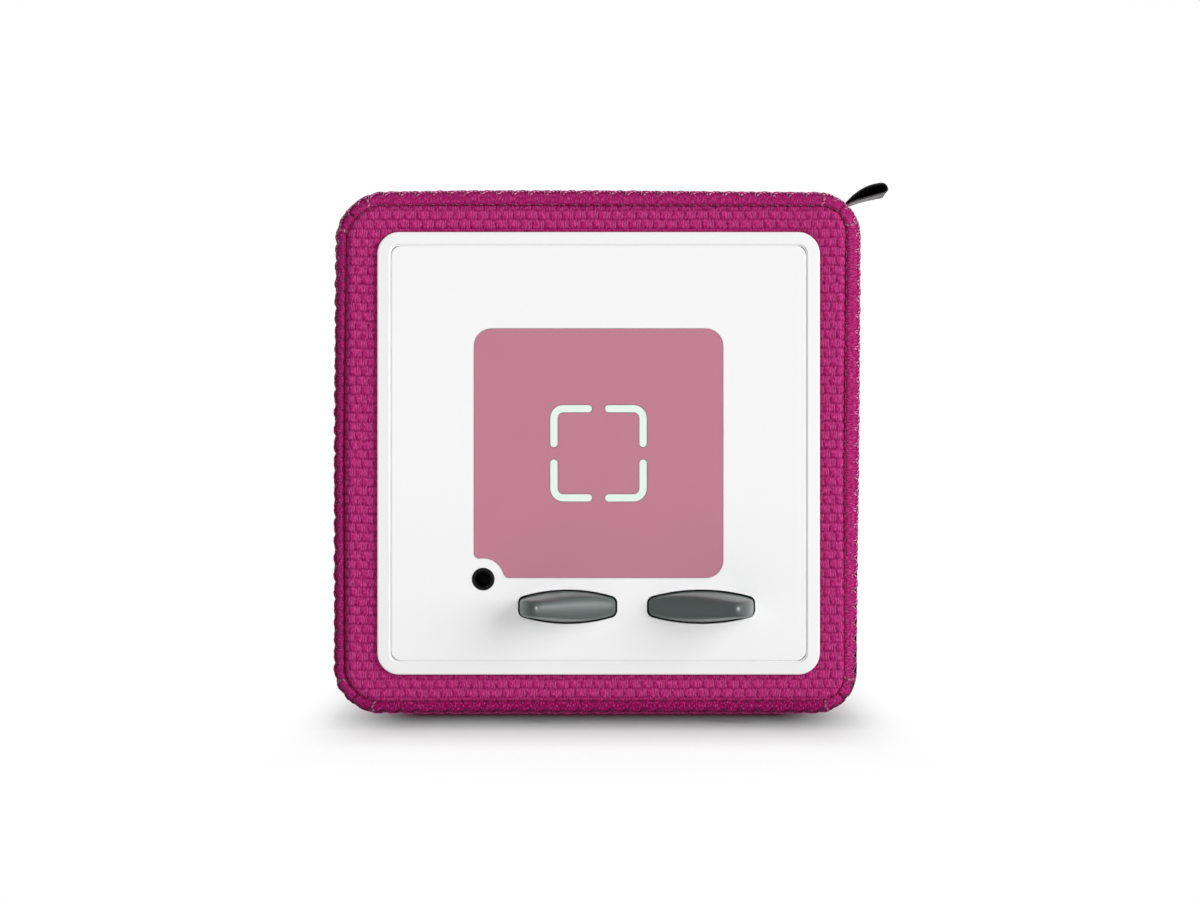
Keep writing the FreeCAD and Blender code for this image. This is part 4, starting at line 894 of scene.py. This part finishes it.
def foam_jacket():
    """The foam under the cover: a soft shell open at the front and the back windows."""
    low, high = box_mm("foam_jacket")
    outer = (high.x - low.x) / 2 - FOAM_GAP
    inner = outer - FOAM_WALL
    middle, half_wall = (outer + inner) / 2, (outer - inner) / 2

    def place(u, v):
        stations = walk(u)
        turn = 2 * math.pi * v
        out = middle + half_wall * np.sign(np.cos(turn)) * np.abs(np.cos(turn)) ** 0.35
        depth = FOAM_REACH * np.sign(np.sin(turn)) * np.abs(np.sin(turn)) ** 0.12
        x, z = rounded_square(stations, out, out - FOAM_STRAIGHT)[:2]
        return np.stack([x, depth, z], 1), np.stack([way_round(stations), v], 1), np.ones_like(u)

    mesh = shaped_sheet("foam_jacket_padding", 240, 64, place)
    piece = finish_piece(
        "foam_jacket_padding", mesh, MATERIALS["polyurethane_foam"],
        replaces=("foam_jacket",),
    )


# ---------------------------------------------------------------- moulded pieces

LEAST_INSET = 0.004        # a step straight forward still needs a sliver of inset
SHARP = math.radians(40)   # a moulded piece's edges that turn more than this aren't shaded over


def round_steps(radius, rising, segments=3):
    """Steps, as inset and rise, round the outer edge of a face, or down over its inner edge."""
    angles = [math.pi / 2 * number / segments for number in range(segments + 1)]
    if rising:
        marks = [(radius * (1 - math.cos(angle)), radius * math.sin(angle)) for angle in angles]
    else:
        marks = [(radius * math.sin(angle), radius * (math.cos(angle) - 1)) for angle in angles]
    return [(b[0] - a[0], b[1] - a[1]) for a, b in zip(marks, marks[1:])]


def stepped_block(half, radius, depth, steps):
    """A square with round corners that faces the front, carried in and forward step by step."""
    bm = bmesh.new()
    facing = Matrix.Translation((0, -depth, MID_Z)) @ Matrix.Rotation(math.pi / 2, 4, "X")
    bmesh.ops.create_grid(bm, x_segments=1, y_segments=1, size=half, matrix=facing)
    bmesh.ops.bevel(
        bm, geom=bm.verts[:], offset=radius, offset_type="OFFSET", segments=14, profile=0.5,
        affect="VERTICES", material=-1,
    )
    bm.faces.ensure_lookup_table()
    face = bm.faces[0]
    for inset, rise in steps:
        bmesh.ops.inset_region(
            bm, faces=[face], thickness=max(inset, LEAST_INSET), use_even_offset=True,
            use_boundary=True,
        )
        bmesh.ops.translate(bm, verts=face.verts, vec=(0, -rise, 0))
    return bm, face


def open_edges(bm):
    """The edges that have one face only."""
    return [edge for edge in bm.edges if edge.is_boundary]


def extrude_rim(bm, edges, along, factor=(1, 1, 1), centre=(0, 0, 0)):
    """Carries an open rim on by a distance, scaled about a centre; gives the new rim."""
    made = bmesh.ops.extrude_edge_only(bm, edges=edges)["geom"]
    verts = [item for item in made if isinstance(item, bmesh.types.BMVert)]
    bmesh.ops.translate(bm, verts=verts, vec=along)
    bmesh.ops.scale(bm, verts=verts, vec=factor, space=Matrix.Translation(-Vector(centre)))
    return [item for item in made if isinstance(item, bmesh.types.BMEdge) and item.is_boundary]


def front_frame():
    """The frame round the panel: a flat rim that leans out a little, its groove and its sleeve."""
    flats = 2 * FRAME_SUPPORT
    rim = BEZEL_HALF - PLATE_HALF - BEZEL_GAP - FRAME_ROUND - GROOVE_ROUND - flats
    rise = BEZEL_FRONT - BEZEL_LIP_BACK - FRAME_LEAN - FRAME_ROUND
    floor = PLATE_FRONT - GROOVE_FLOOR
    strip = (FRAME_SUPPORT, FRAME_LEAN * 0.04)
    steps = [(0, rise - FRAME_SUPPORT), (0, FRAME_SUPPORT), *round_steps(FRAME_ROUND, True)]
    steps += [strip, (rim, FRAME_LEAN * 0.92), strip, *round_steps(GROOVE_ROUND, False)]
    steps += [(0, floor - BEZEL_FRONT + GROOVE_ROUND), (BEZEL_GAP - SLEEVE_GAP, 0)]
    steps += [(0, BEZEL_BACK - floor)]
    bm, middle = stepped_block(BEZEL_HALF, BEZEL_RADIUS, BEZEL_LIP_BACK, steps)
    bmesh.ops.delete(bm, geom=[middle], context="FACES")
    centre = Vector((0, 0, MID_Z))
    outer = [
        edge for edge in open_edges(bm)
        if max(max(abs(v.co.x), abs(v.co.z - MID_Z)) for v in edge.verts) > PLATE_HALF + 1
    ]
    narrower = (PLATE_HALF + BEZEL_GAP + SLEEVE_WALL) / BEZEL_HALF
    outer = extrude_rim(bm, outer, (0, 0, 0), (narrower, 1, narrower), centre)
    extrude_rim(bm, outer, (0, BEZEL_LIP_BACK - BEZEL_BACK, 0))
    bmesh.ops.bridge_loops(bm, edges=open_edges(bm))
    bmesh.ops.recalc_face_normals(bm, faces=bm.faces)
    mesh = bpy.data.meshes.new("frame")
    bm.to_mesh(mesh)
    bm.free()
    finish_piece(
        "front_frame", mesh, MATERIALS["abs_satin_white"],
        replaces=("front_bezel",), sharp=SHARP,
    )


def ear_outline(from_end, half_length, half_width):
    """Half width of the ear's lens outline at a distance from its steep end."""
    middle_gap = half_length - from_end
    sagitta = half_width - EAR_END
    arc_radius = (half_length**2 + sagitta**2) / (2 * sagitta)
    arc = np.sqrt(arc_radius**2 - middle_gap**2) - (arc_radius - half_width)
    slope = math.asin(half_length / arc_radius)
    blunt = EAR_END - EAR_KNEE * math.tan((math.pi / 2 - slope) / 2)
    near = np.clip(half_length - np.abs(middle_gap), 0, EAR_KNEE)
    knee = blunt + np.sqrt(EAR_KNEE**2 - (EAR_KNEE - near) ** 2)
    return np.where(near < EAR_KNEE * (1 - math.sin(slope)), knee, arc)


def ear_key(node, outward):
    """One ear-shaped key: steep at its outer end, sloping inward, with broad soft shoulders."""
    low, high = box_mm(node)
    middle = (low + high) / 2
    half_length = (high.x - low.x) / 2 - EAR_FLANGE
    half_width = (high.z - low.z) / 2 - EAR_FLANGE
    height = -low.y - PLATE_FRONT

    def end_rise(share):
        return (1 - (1 - np.clip(share, 0, 1)) ** 2.6) ** 0.6

    def place(u, v):
        from_end = half_length * (1 - np.cos(math.pi * u))
        width = ear_outline(from_end, half_length, half_width)
        past_peak = np.clip(from_end - EAR_PEAK, 0, None)
        fall = (height - EAR_TAIL) * past_peak / (2 * half_length - EAR_PEAK)
        top = (height - fall) * end_rise(from_end / EAR_PEAK)
        top = top * end_rise((2 * half_length - from_end) / 0.8)
        last = len(EAR_STEPS) - 1
        step = np.abs(2 * v - 1) * last
        share = np.interp(step, np.arange(last + 1.0), EAR_STEPS)
        # How far each row lies under the crest: a round shoulder, then the flank down to the foot.
        drops = (0, 0.05, 0.34, 1.15, 1.2 + 0.22 * top, 0.7 * top, top)
        rise = np.empty_like(top)
        for number, drop in enumerate(drops):
            here = np.rint(step) == number
            rise[here] = (top - np.minimum(drop, top * number / last))[here]
        local = width - np.clip(width - EAR_CREST, 0, None) * rise / height
        across = np.sign(v - 0.5) * local * share
        x = middle.x + outward * (half_length - from_end)
        points = np.stack([x, -(PLATE_FRONT + rise), middle.z + across], 1)
        return points, np.stack([from_end, across], 1), np.ones_like(u)

    mesh = shaped_sheet("fin", 30, 12, place)
    bm = bmesh.new()
    bm.from_mesh(mesh)
    bmesh.ops.remove_doubles(bm, verts=bm.verts, dist=1e-3)
    centre = (middle.x, 0, middle.z)
    wider = ((half_length + EAR_FLANGE) / half_length, 1, (half_width + EAR_FLANGE) / half_width)
    rim = extrude_rim(bm, open_edges(bm), (0, 0.3, 0))
    rim = extrude_rim(bm, rim, (0, PLATE_FRONT - EAR_FLANGE_FRONT - 0.3, 0))
    rim = extrude_rim(bm, rim, (0, 0, 0), wider, centre)
    rim = extrude_rim(bm, rim, (0, EAR_FLANGE, 0))
    bmesh.ops.contextual_create(bm, geom=rim)
    bmesh.ops.recalc_face_normals(bm, faces=bm.faces)
    bm.to_mesh(mesh)
    bm.free()
    piece = finish_piece(
        f"{node}_key", mesh, MATERIALS["satin_abs_grey"], body=node,
        replaces=(node,),
    )
    smooth = piece.modifiers.new("shoulders", "SUBSURF")
    smooth.levels = smooth.render_levels = 2
    ear_posts(node, middle)


def ear_posts(node, middle):
    """The two guide posts and the stem behind an ear key's flange."""
    bm = bmesh.new()
    begin = EAR_FLANGE_FRONT - EAR_FLANGE + 0.05
    for x, radius, end in (
        (-EAR_POST_SPACING / 2, EAR_POST_RADIUS, EAR_POST_END),
        (EAR_POST_SPACING / 2, EAR_POST_RADIUS, EAR_POST_END),
        (0.0, EAR_STEM_RADIUS, EAR_STEM_END),
    ):
        place = Matrix.Translation((middle.x + x, -(begin + end) / 2, middle.z))
        bmesh.ops.create_cone(
            bm, cap_ends=True, segments=24, radius1=radius, radius2=radius, depth=begin - end,
            matrix=place @ Matrix.Rotation(math.pi / 2, 4, "X"),
        )
    rims = [edge for edge in bm.edges if edge.calc_face_angle() > 1.0]
    bmesh.ops.bevel(
        bm, geom=rims, offset=0.2, offset_type="OFFSET", segments=2, profile=0.5, affect="EDGES",
        material=-1,
    )
    mesh = bpy.data.meshes.new("posts")
    bm.to_mesh(mesh)
    bm.free()
    finish_piece(
        f"{node}_posts", mesh, MATERIALS["satin_abs_grey"], body=node,
        replaces=(node,), sharp=SHARP,
    )


# ---------------------------------------------------------------- finishes

MATERIALS = {}
METAL = {"Metallic": 1.0}

# The plain finishes: colour, roughness, the grain's width and depth in mm, how far the flow marks
# vary the colour, and the shader's other sockets. A colour is one of the panel's settings or an
# sRGB hex value. Each comment says what the material gives the eye.
PLAIN_FINISHES = {
    # Moulded in a polished tool: an even white with a soft shine.
    "abs_satin_white": ("frame_colour", 0.38, 0.6, 0.004, 0.004),
    # Moulded in a finely etched tool: a flat white that shows no reflections.
    "abs_fine_texture_white": ("plate_colour", 0.5, 0.35, 0.006, 0.004),
    # Dyed through and etched: a soft matt colour with a fine grain.
    "polycarbonate_pink": ("pad_colour", 0.5, 0.45, 0.02, 0.03),
    # Filled to spread the lamps' light: pale, smooth and a little glossy.
    "polycarbonate_diffuser": ("mark_colour", 0.3, 0.8, 0.003, 0.01),
    # Moulded in a half-polished tool: broad soft highlights on a dark body.
    "satin_abs_grey": (
        "ear_colour", 0.32, 1.2, 0.003, 0.02,
        {"Specular_IOR_Level": 0.25, "Specular_Tint": srgb("#a0a0a0")},
    ),
    # Moulded with a smooth skin: a deep black with a weak shine.
    "nylon_black": ("#040404", 0.4, 0.8, 0.003, 0.05, {"Specular_IOR_Level": 0.15}),
    # Moulded in a coarser tool than the front: a duller white.
    "abs_back_white": ("back_colour", 0.55, 0.5, 0.01, 0.01),
    # Inner mouldings of recycled ABS: dark, dull and slightly streaked.
    "abs_charcoal": ("#4a4d50", 0.6, 0.5, 0.01, 0.03),
    # Cast silicone: milky and half matt.
    "silicone_clear": ("#d9dbd8", 0.45, 0.6, 0.004, 0.02),
    # Moulded rubber: nearly black and matt.
    "rubber_feet": ("#2c2c2e", 0.8, 0.5, 0.02, 0.05),
    # Glass cloth in epoxy under solder mask: glossy green, with the cloth's unevenness.
    "glass_epoxy_green": ("#1f5a3a", 0.35, 0.3, 0.004, 0.06),
    # Wire under clear enamel: warm metal, uneven from turn to turn.
    "enamelled_copper": ("#b87745", 0.35, 0.4, 0.01, 0.1, METAL),
    # Electroplate over magnets: a bright smooth metal.
    "nickel_plate": ("#b9bcc0", 0.25, 0.8, 0.002, 0.03, METAL),
    # Small screws: a greyish metal, cloudy from the plating bath.
    "zinc_plated_steel": ("#8f9296", 0.35, 0.3, 0.004, 0.06, METAL),
    # Rolled sheet dipped in tin: pale metal with soft reflections.
    "tinned_steel": ("#b7babd", 0.3, 0.8, 0.003, 0.04, METAL),
    # Drawn and tumbled: a darker, sharper metal.
    "stainless_steel": ("#9a9da1", 0.28, 0.4, 0.003, 0.04, METAL),
    # Baked paint: dark, with a faint orange-peel grain.
    "painted_steel": ("#2e3033", 0.5, 0.4, 0.01, 0.05),
    # Pressed and fired powder: dark grey, dull and grainy.
    "sintered_ferrite": ("#2b2c2f", 0.7, 0.4, 0.02, 0.08),
    # Clear resin over a yellow phosphor: cream and glossy.
    "led_epoxy": ("#f3f0dc", 0.25, 0.6, 0.002, 0.02),
    # Shrunk film: a glossy colour with long shallow wrinkles.
    "shrink_wrap_blue": ("#3a6ea8", 0.35, 3.0, 0.02, 0.04),
    # Pulp pressed on a screen: very matt, with a felted grain.
    "pressed_paper": ("#26272a", 0.85, 0.5, 0.03, 0.1),
    # Thin moulded rubber: black with a soft shine.
    "butyl_rubber": ("#1c1d1f", 0.6, 0.6, 0.01, 0.05),
    # Cut foam rubber: matt, with open pores.
    "cellular_rubber": ("#303134", 0.9, 0.7, 0.05, 0.1),
}


def make_materials(cover, panel):
    """All the finishes, each named for what the real piece is made of."""
    made = [woven_polyester(cover), polyester_thread(cover)]
    made += [satin_ribbon(cover), polyurethane_foam()]
    for name, (tint, roughness, grain, depth, mottle, *sockets) in PLAIN_FINISHES.items():
        tint = srgb(tint) if tint.startswith("#") else getattr(panel, tint)
        made.append(moulded(name, tint, roughness, grain, depth, mottle, **dict(*sockets)))
    MATERIALS.update({material.name: material for material in made})


NODE_FINISHES = {
    "abs_fine_texture_white": ("face_plate",),
    "polycarbonate_pink": ("landing_pad",),
    "polycarbonate_diffuser": ("light_guide",),
    "nylon_black": ("jack_socket",),
    "abs_back_white": ("back_plate",),
    "abs_charcoal": ("ear_guide_plate", "panel_carrier", "core_box", "battery_tray"),
    "silicone_clear": ("ear_dome_small", "ear_dome_large"),
    "rubber_feet": ("back_feet",),
    "glass_epoxy_green": ("control_board", "main_board"),
    "enamelled_copper": ("reader_coil",),
    "nickel_plate": ("pad_magnets",),
    "zinc_plated_steel": (
        "guide_screws", "carrier_screws", "board_screws", "back_screws", "main_board_screws",
        "tray_screws", "speaker_screws",
    ),
    "tinned_steel": ("shield_can",),
    "stainless_steel": ("usb_port",),
    "painted_steel": ("speaker_frame",),
    "sintered_ferrite": ("speaker_magnet",),
    "led_epoxy": ("board_lamps",),
    "shrink_wrap_blue": ("battery_cells",),
    "pressed_paper": ("speaker_cone",),
    "butyl_rubber": ("speaker_surround",),
    "cellular_rubber": ("speaker_gasket",),
}


def finish_nodes():
    """Gives each CAD node that stays its finish."""
    for finish, nodes in NODE_FINISHES.items():
        for node in nodes:
            mesh = frame["nodes"][node].data
            mesh.materials.clear()
            mesh.materials.append(MATERIALS[finish])


# ---------------------------------------------------------------- stage

VIEW_MIDDLE = (0.34, 60.75)   # x and z that the camera faces
CAMERA_GAP = 648.0         # from the cover's face to the lens
LENS = 85.0
SENSOR = 36.0
FLOOR_RADIUS = 900.0

# Where the shadow painted on the floor round the player starts to fade and has gone, before and behind
# its middle; and where the light table's glow starts to show and is full, round it and beside it.
CONTACT_SHADE = (0.064, 0.096)
GLOW_ROUND = (0.11, 0.20)
GLOW_BESIDE = (0.040, 0.070)

# The overhead softbox: its place and its width and length, in metres.
SOFTBOX_PLACE = (0, 0.6, 2.0)
SOFTBOX_SIZE = (0.36, 1.1)

# The lamps that make the ears shine: azimuth, strength, angle, and the one piece they light.
GLEAM_ELEVATION = 3
GLEAMS = {
    "gleam_small": (-8, 32.0, 36, "ear_small_key"),
    "gleam_large": (8, 38.0, 36, "ear_large_key"),
    "gleam_slope": (62, 5.5, 40, "ear_small_key"),
}
TURNED_AWAY = ("cloth_top", "cloth_left", "cloth_right", "cloth_back", "back_plate", "back_feet")


def seen_by_camera(tree):
    """1 where the camera sees a surface, straight, mirrored or through glass, or else 0."""
    ray = add_node(tree, "ShaderNodeLightPath").outputs
    seen = add_node(
        tree, "ShaderNodeMath", {0: ray["Is Camera Ray"], 1: ray["Is Glossy Ray"]},
        operation="MAXIMUM",
    )
    return add_node(
        tree, "ShaderNodeMath", {0: seen, 1: ray["Is Transmission Ray"]}, operation="MAXIMUM"
    )


def white_paper():
    """Matt white paper: pale and even, with no shine. It lies on a light table, which glows
    through it away from the player."""
    material, tree, shader = new_material("white_paper", Roughness=0.95, Specular_IOR_Level=0.0)
    place = add_node(tree, "ShaderNodeTexCoord").outputs["Object"]
    parts = add_node(tree, "ShaderNodeSeparateXYZ", {"Vector": place}).outputs
    seen = seen_by_camera(tree)
    # Painted shadow: close to the base the paper's colour is darkened, as the player's shade.
    before = add_node(tree, "ShaderNodeMath", {0: parts["Y"]}, operation="ABSOLUTE")
    contact = add_node(
        tree, "ShaderNodeMapRange",
        {"Value": before, "From Min": CONTACT_SHADE[0], "From Max": CONTACT_SHADE[1]},
    )
    paper = add_node(
        tree, "ShaderNodeMix", {"Factor": contact, "A": srgb("#9faca8"), "B": srgb("#f3f3f3")},
        data_type="RGBA",
    )
    add_node(
        tree, "ShaderNodeMix", {"Factor": seen, "A": srgb("#b4b4b4"), "B": paper},
        to=shader.inputs["Base Color"], data_type="RGBA",
    )
    # The table's glow takes over further off, and beside the player.
    wide = add_node(tree, "ShaderNodeMapping", {"Vector": place, "Scale": (1.5, 1.0, 1.0)})
    away = add_node(tree, "ShaderNodeVectorMath", {0: wide}, operation="LENGTH")
    beside = add_node(tree, "ShaderNodeMath", {0: parts["X"]}, operation="ABSOLUTE")
    around, aside = (
        add_node(
            tree, "ShaderNodeMapRange", {"Value": value, "From Min": start, "From Max": full},
            interpolation_type="SMOOTHSTEP",
        )
        for value, (start, full) in ((away, GLOW_ROUND), (beside, GLOW_BESIDE))
    )
    fade = add_node(tree, "ShaderNodeMath", {0: around, 1: aside}, operation="MAXIMUM")
    # The light that the table throws on the player is even, and fills the shade in front of it.
    share = add_node(tree, "ShaderNodeMix", {"Factor": seen, "A": 0.8, "B": fade})
    glow = add_node(tree, "ShaderNodeMix", {"Factor": seen, "A": 0.76, "B": 1.0})
    white = add_node(tree, "ShaderNodeEmission", {"Color": (1, 1, 1, 1), "Strength": glow})
    add_node(
        tree, "ShaderNodeMixShader", {0: share, 1: shader, 2: white},
        to=tree.nodes["Material Output"].inputs["Surface"],
    )
    return material


def stage_floor():
    """A pale floor, lit near the player and fading to plain white further off."""
    bm = bmesh.new()
    bmesh.ops.create_circle(bm, cap_ends=True, segments=96, radius=FLOOR_RADIUS)
    mesh = bpy.data.meshes.new("floor")
    bm.to_mesh(mesh)
    bm.free()
    mesh.transform(Matrix.Scale(MM, 4))
    mesh.materials.append(white_paper())
    floor = new_object("floor", mesh)
    return floor


def studio_sky(strength):
    """White where the camera or a reflection sees it, and an even soft light on everything."""
    world = bpy.data.worlds.new("studio")
    bpy.context.scene.world = world
    world.use_nodes = True
    background = world.node_tree.nodes["Background"].inputs
    background["Color"].default_value = (1, 1, 1, 1)
    add_node(
        world.node_tree, "ShaderNodeMapRange",
        {"Value": seen_by_camera(world.node_tree), "To Min": strength, "To Max": 1.0},
        to=background["Strength"],
    )


def sun(name, azimuth, elevation, strength, angle):
    """A distant soft lamp on the side of the player that the angles name, facing its middle."""
    lamp = bpy.data.lights.new(name, "SUN")
    lamp.energy = strength
    lamp.angle = math.radians(angle)
    piece = new_object(name, lamp)
    a, e = math.radians(azimuth), math.radians(elevation)
    away = Vector((math.sin(a) * math.cos(e), -math.cos(a) * math.cos(e), math.sin(e)))
    piece.location = away + Vector((0, 0, MID_Z * MM))
    piece.rotation_euler = away.to_track_quat("Z", "Y").to_euler()
    return piece


def softbox(name, power):
    """A long soft lamp over the floor that faces straight down."""
    lamp = bpy.data.lights.new(name, "AREA")
    lamp.shape = "RECTANGLE"
    lamp.size, lamp.size_y = SOFTBOX_SIZE
    lamp.energy = power
    piece = new_object(name, lamp)
    piece.location = SOFTBOX_PLACE
    return piece


def light_only(lamp, pieces):
    """Lets a lamp light these pieces and nothing else."""
    lit = bpy.data.collections.new(f"{lamp.name}_lights")
    for piece in pieces:
        lit.objects.link(piece)
    lamp.light_linking.receiver_collection = lit


def make_camera():
    """A straight-on view from in front of the panel."""
    camera = bpy.data.cameras.new("camera")
    camera.lens = LENS
    camera.sensor_width = SENSOR
    camera.clip_start = 0.01
    piece = new_object("camera", camera)
    x, z = VIEW_MIDDLE
    piece.location = Vector((x, -FACE_DEPTH - CAMERA_GAP, z)) * MM
    piece.rotation_euler = (math.pi / 2, 0, 0)
    bpy.context.scene.camera = piece


# ---------------------------------------------------------------- operators

class PLAYER_OT_finishes(bpy.types.Operator):
    """Make the finishes and give them to the moulded and bought-in pieces"""

    bl_idname = "player.finishes"
    bl_label = "Finishes"

    def execute(self, context):
        scene = context.scene
        make_materials(scene.player_cover, scene.player_panel)
        finish_nodes()
        return {"FINISHED"}


class PLAYER_OT_face_cloths(bpy.types.Operator):
    """Sew the padded borders of the front and the back"""

    bl_idname = "player.face_cloths"
    bl_label = "Face cloths"

    def execute(self, context):
        for face in FACES:
            face_cloth(context.scene.player_cover, face)
        return {"FINISHED"}


class PLAYER_OT_edge_rolls(bpy.types.Operator):
    """Sew the rolled edges round the front and the back"""

    bl_idname = "player.edge_rolls"
    bl_label = "Edge rolls"

    def execute(self, context):
        for face in FACES:
            edge_roll(context.scene.player_cover, face)
        return {"FINISHED"}


class PLAYER_OT_side_cloths(bpy.types.Operator):
    """Sew the four side panels"""

    bl_idname = "player.side_cloths"
    bl_label = "Side cloths"

    def execute(self, context):
        names = ("cloth_right", "cloth_top", "cloth_left", "cloth_bottom")
        for quarter, name in enumerate(names):
            side_cloth(context.scene.player_cover, name, quarter)
        return {"FINISHED"}


class PLAYER_OT_seam_threads(bpy.types.Operator):
    """Run the overlock thread, the bar tacks and the small seam stitches"""

    bl_idname = "player.seam_threads"
    bl_label = "Seam threads"

    def execute(self, context):
        for face in FACES:
            seam_threads(context.scene.player_cover, face)
        return {"FINISHED"}


class PLAYER_OT_ribbon_tag(bpy.types.Operator):
    """Fold the ribbon tag"""

    bl_idname = "player.ribbon_tag"
    bl_label = "Ribbon tag"

    def execute(self, context):
        ribbon_tag()
        return {"FINISHED"}


class PLAYER_OT_foam_jacket(bpy.types.Operator):
    """Cut the foam jacket under the cover"""

    bl_idname = "player.foam_jacket"
    bl_label = "Foam jacket"

    def execute(self, context):
        foam_jacket()
        return {"FINISHED"}


class PLAYER_OT_front_frame(bpy.types.Operator):
    """Mould the frame round the panel"""

    bl_idname = "player.front_frame"
    bl_label = "Front frame"

    def execute(self, context):
        front_frame()
        return {"FINISHED"}


class PLAYER_OT_ear_keys(bpy.types.Operator):
    """Mould the two ear-shaped keys with their flanges and posts"""

    bl_idname = "player.ear_keys"
    bl_label = "Ear keys"

    def execute(self, context):
        ear_key("ear_small", -1)
        ear_key("ear_large", 1)
        return {"FINISHED"}


class PLAYER_OT_stage(bpy.types.Operator):
    """Set up the floor, the lights and the camera"""

    bl_idname = "player.stage"
    bl_label = "Stage"

    def execute(self, context):
        stage, objects = context.scene.player_stage, context.scene.objects
        context.scene.view_settings.view_transform = "Standard"
        pieces = [piece for piece in objects if piece.type == "MESH"]
        floor = stage_floor()
        studio_sky(stage.sky_strength)
        key = sun("key", 60, 17, stage.key_strength, 50)
        fill = sun("fill", 0, 5, stage.fill_strength, 18)
        back = sun("back", 190, 15, stage.back_strength, 60)
        fill.visible_glossy = False
        for lamp in (key, fill, back):
            light_only(lamp, pieces)
        for name, (azimuth, strength, angle, lit_piece) in GLEAMS.items():
            gleam = sun(name, azimuth, GLEAM_ELEVATION, strength, angle)
            gleam.visible_diffuse = False
            light_only(gleam, [objects[lit_piece]])
        light_only(softbox("overhead", stage.overhead_power), [floor])
        top = sun("top", 180, 62, stage.top_strength, 50)
        light_only(top, [piece for piece in pieces if piece.name in TURNED_AWAY])
        make_camera()
        return {"FINISHED"}


class PLAYER_PT_panel(bpy.types.Panel):
    """Lists the player's settings and the operators that build it"""

    bl_label = "Story player"
    bl_idname = "PLAYER_PT_panel"
    bl_space_type = "VIEW_3D"
    bl_region_type = "UI"
    bl_category = "Story player"

    def draw(self, context):
        layout = self.layout
        for group_name in GROUPS:
            group = getattr(context.scene, group_name)
            for name in group.bl_rna.properties.keys():
                if name not in ("rna_type", "name"):
                    layout.prop(group, name)
        for operator in OPERATORS:
            layout.operator(operator.bl_idname)


OPERATORS = (
    PLAYER_OT_finishes,
    PLAYER_OT_face_cloths,
    PLAYER_OT_edge_rolls,
    PLAYER_OT_side_cloths,
    PLAYER_OT_seam_threads,
    PLAYER_OT_ribbon_tag,
    PLAYER_OT_foam_jacket,
    PLAYER_OT_front_frame,
    PLAYER_OT_ear_keys,
    PLAYER_OT_stage,
)
GROUPS = {
    "player_cover": CoverSettings,
    "player_panel": PanelSettings,
    "player_stage": StageSettings,
}


def register():
    """Registers the classes and hangs the settings on the scene."""
    for group in GROUPS.values():
        bpy.utils.register_class(group)
    for operator in OPERATORS:
        bpy.utils.register_class(operator)
    bpy.utils.register_class(PLAYER_PT_panel)
    for name, group in GROUPS.items():
        setattr(bpy.types.Scene, name, bpy.props.PointerProperty(type=group))


def unregister():
    """Takes the settings and the classes away again."""
    for name in GROUPS:
        delattr(bpy.types.Scene, name)
    bpy.utils.unregister_class(PLAYER_PT_panel)
    for operator in reversed(OPERATORS):
        bpy.utils.unregister_class(operator)
    for group in GROUPS.values():
        bpy.utils.unregister_class(group)


def main():
    """Builds the player, piece by piece."""
    register()
    for operator in OPERATORS:
        group, name = operator.bl_idname.split(".")
        getattr(getattr(bpy.ops, group), name)()


if __name__ == "__main__":
    main()
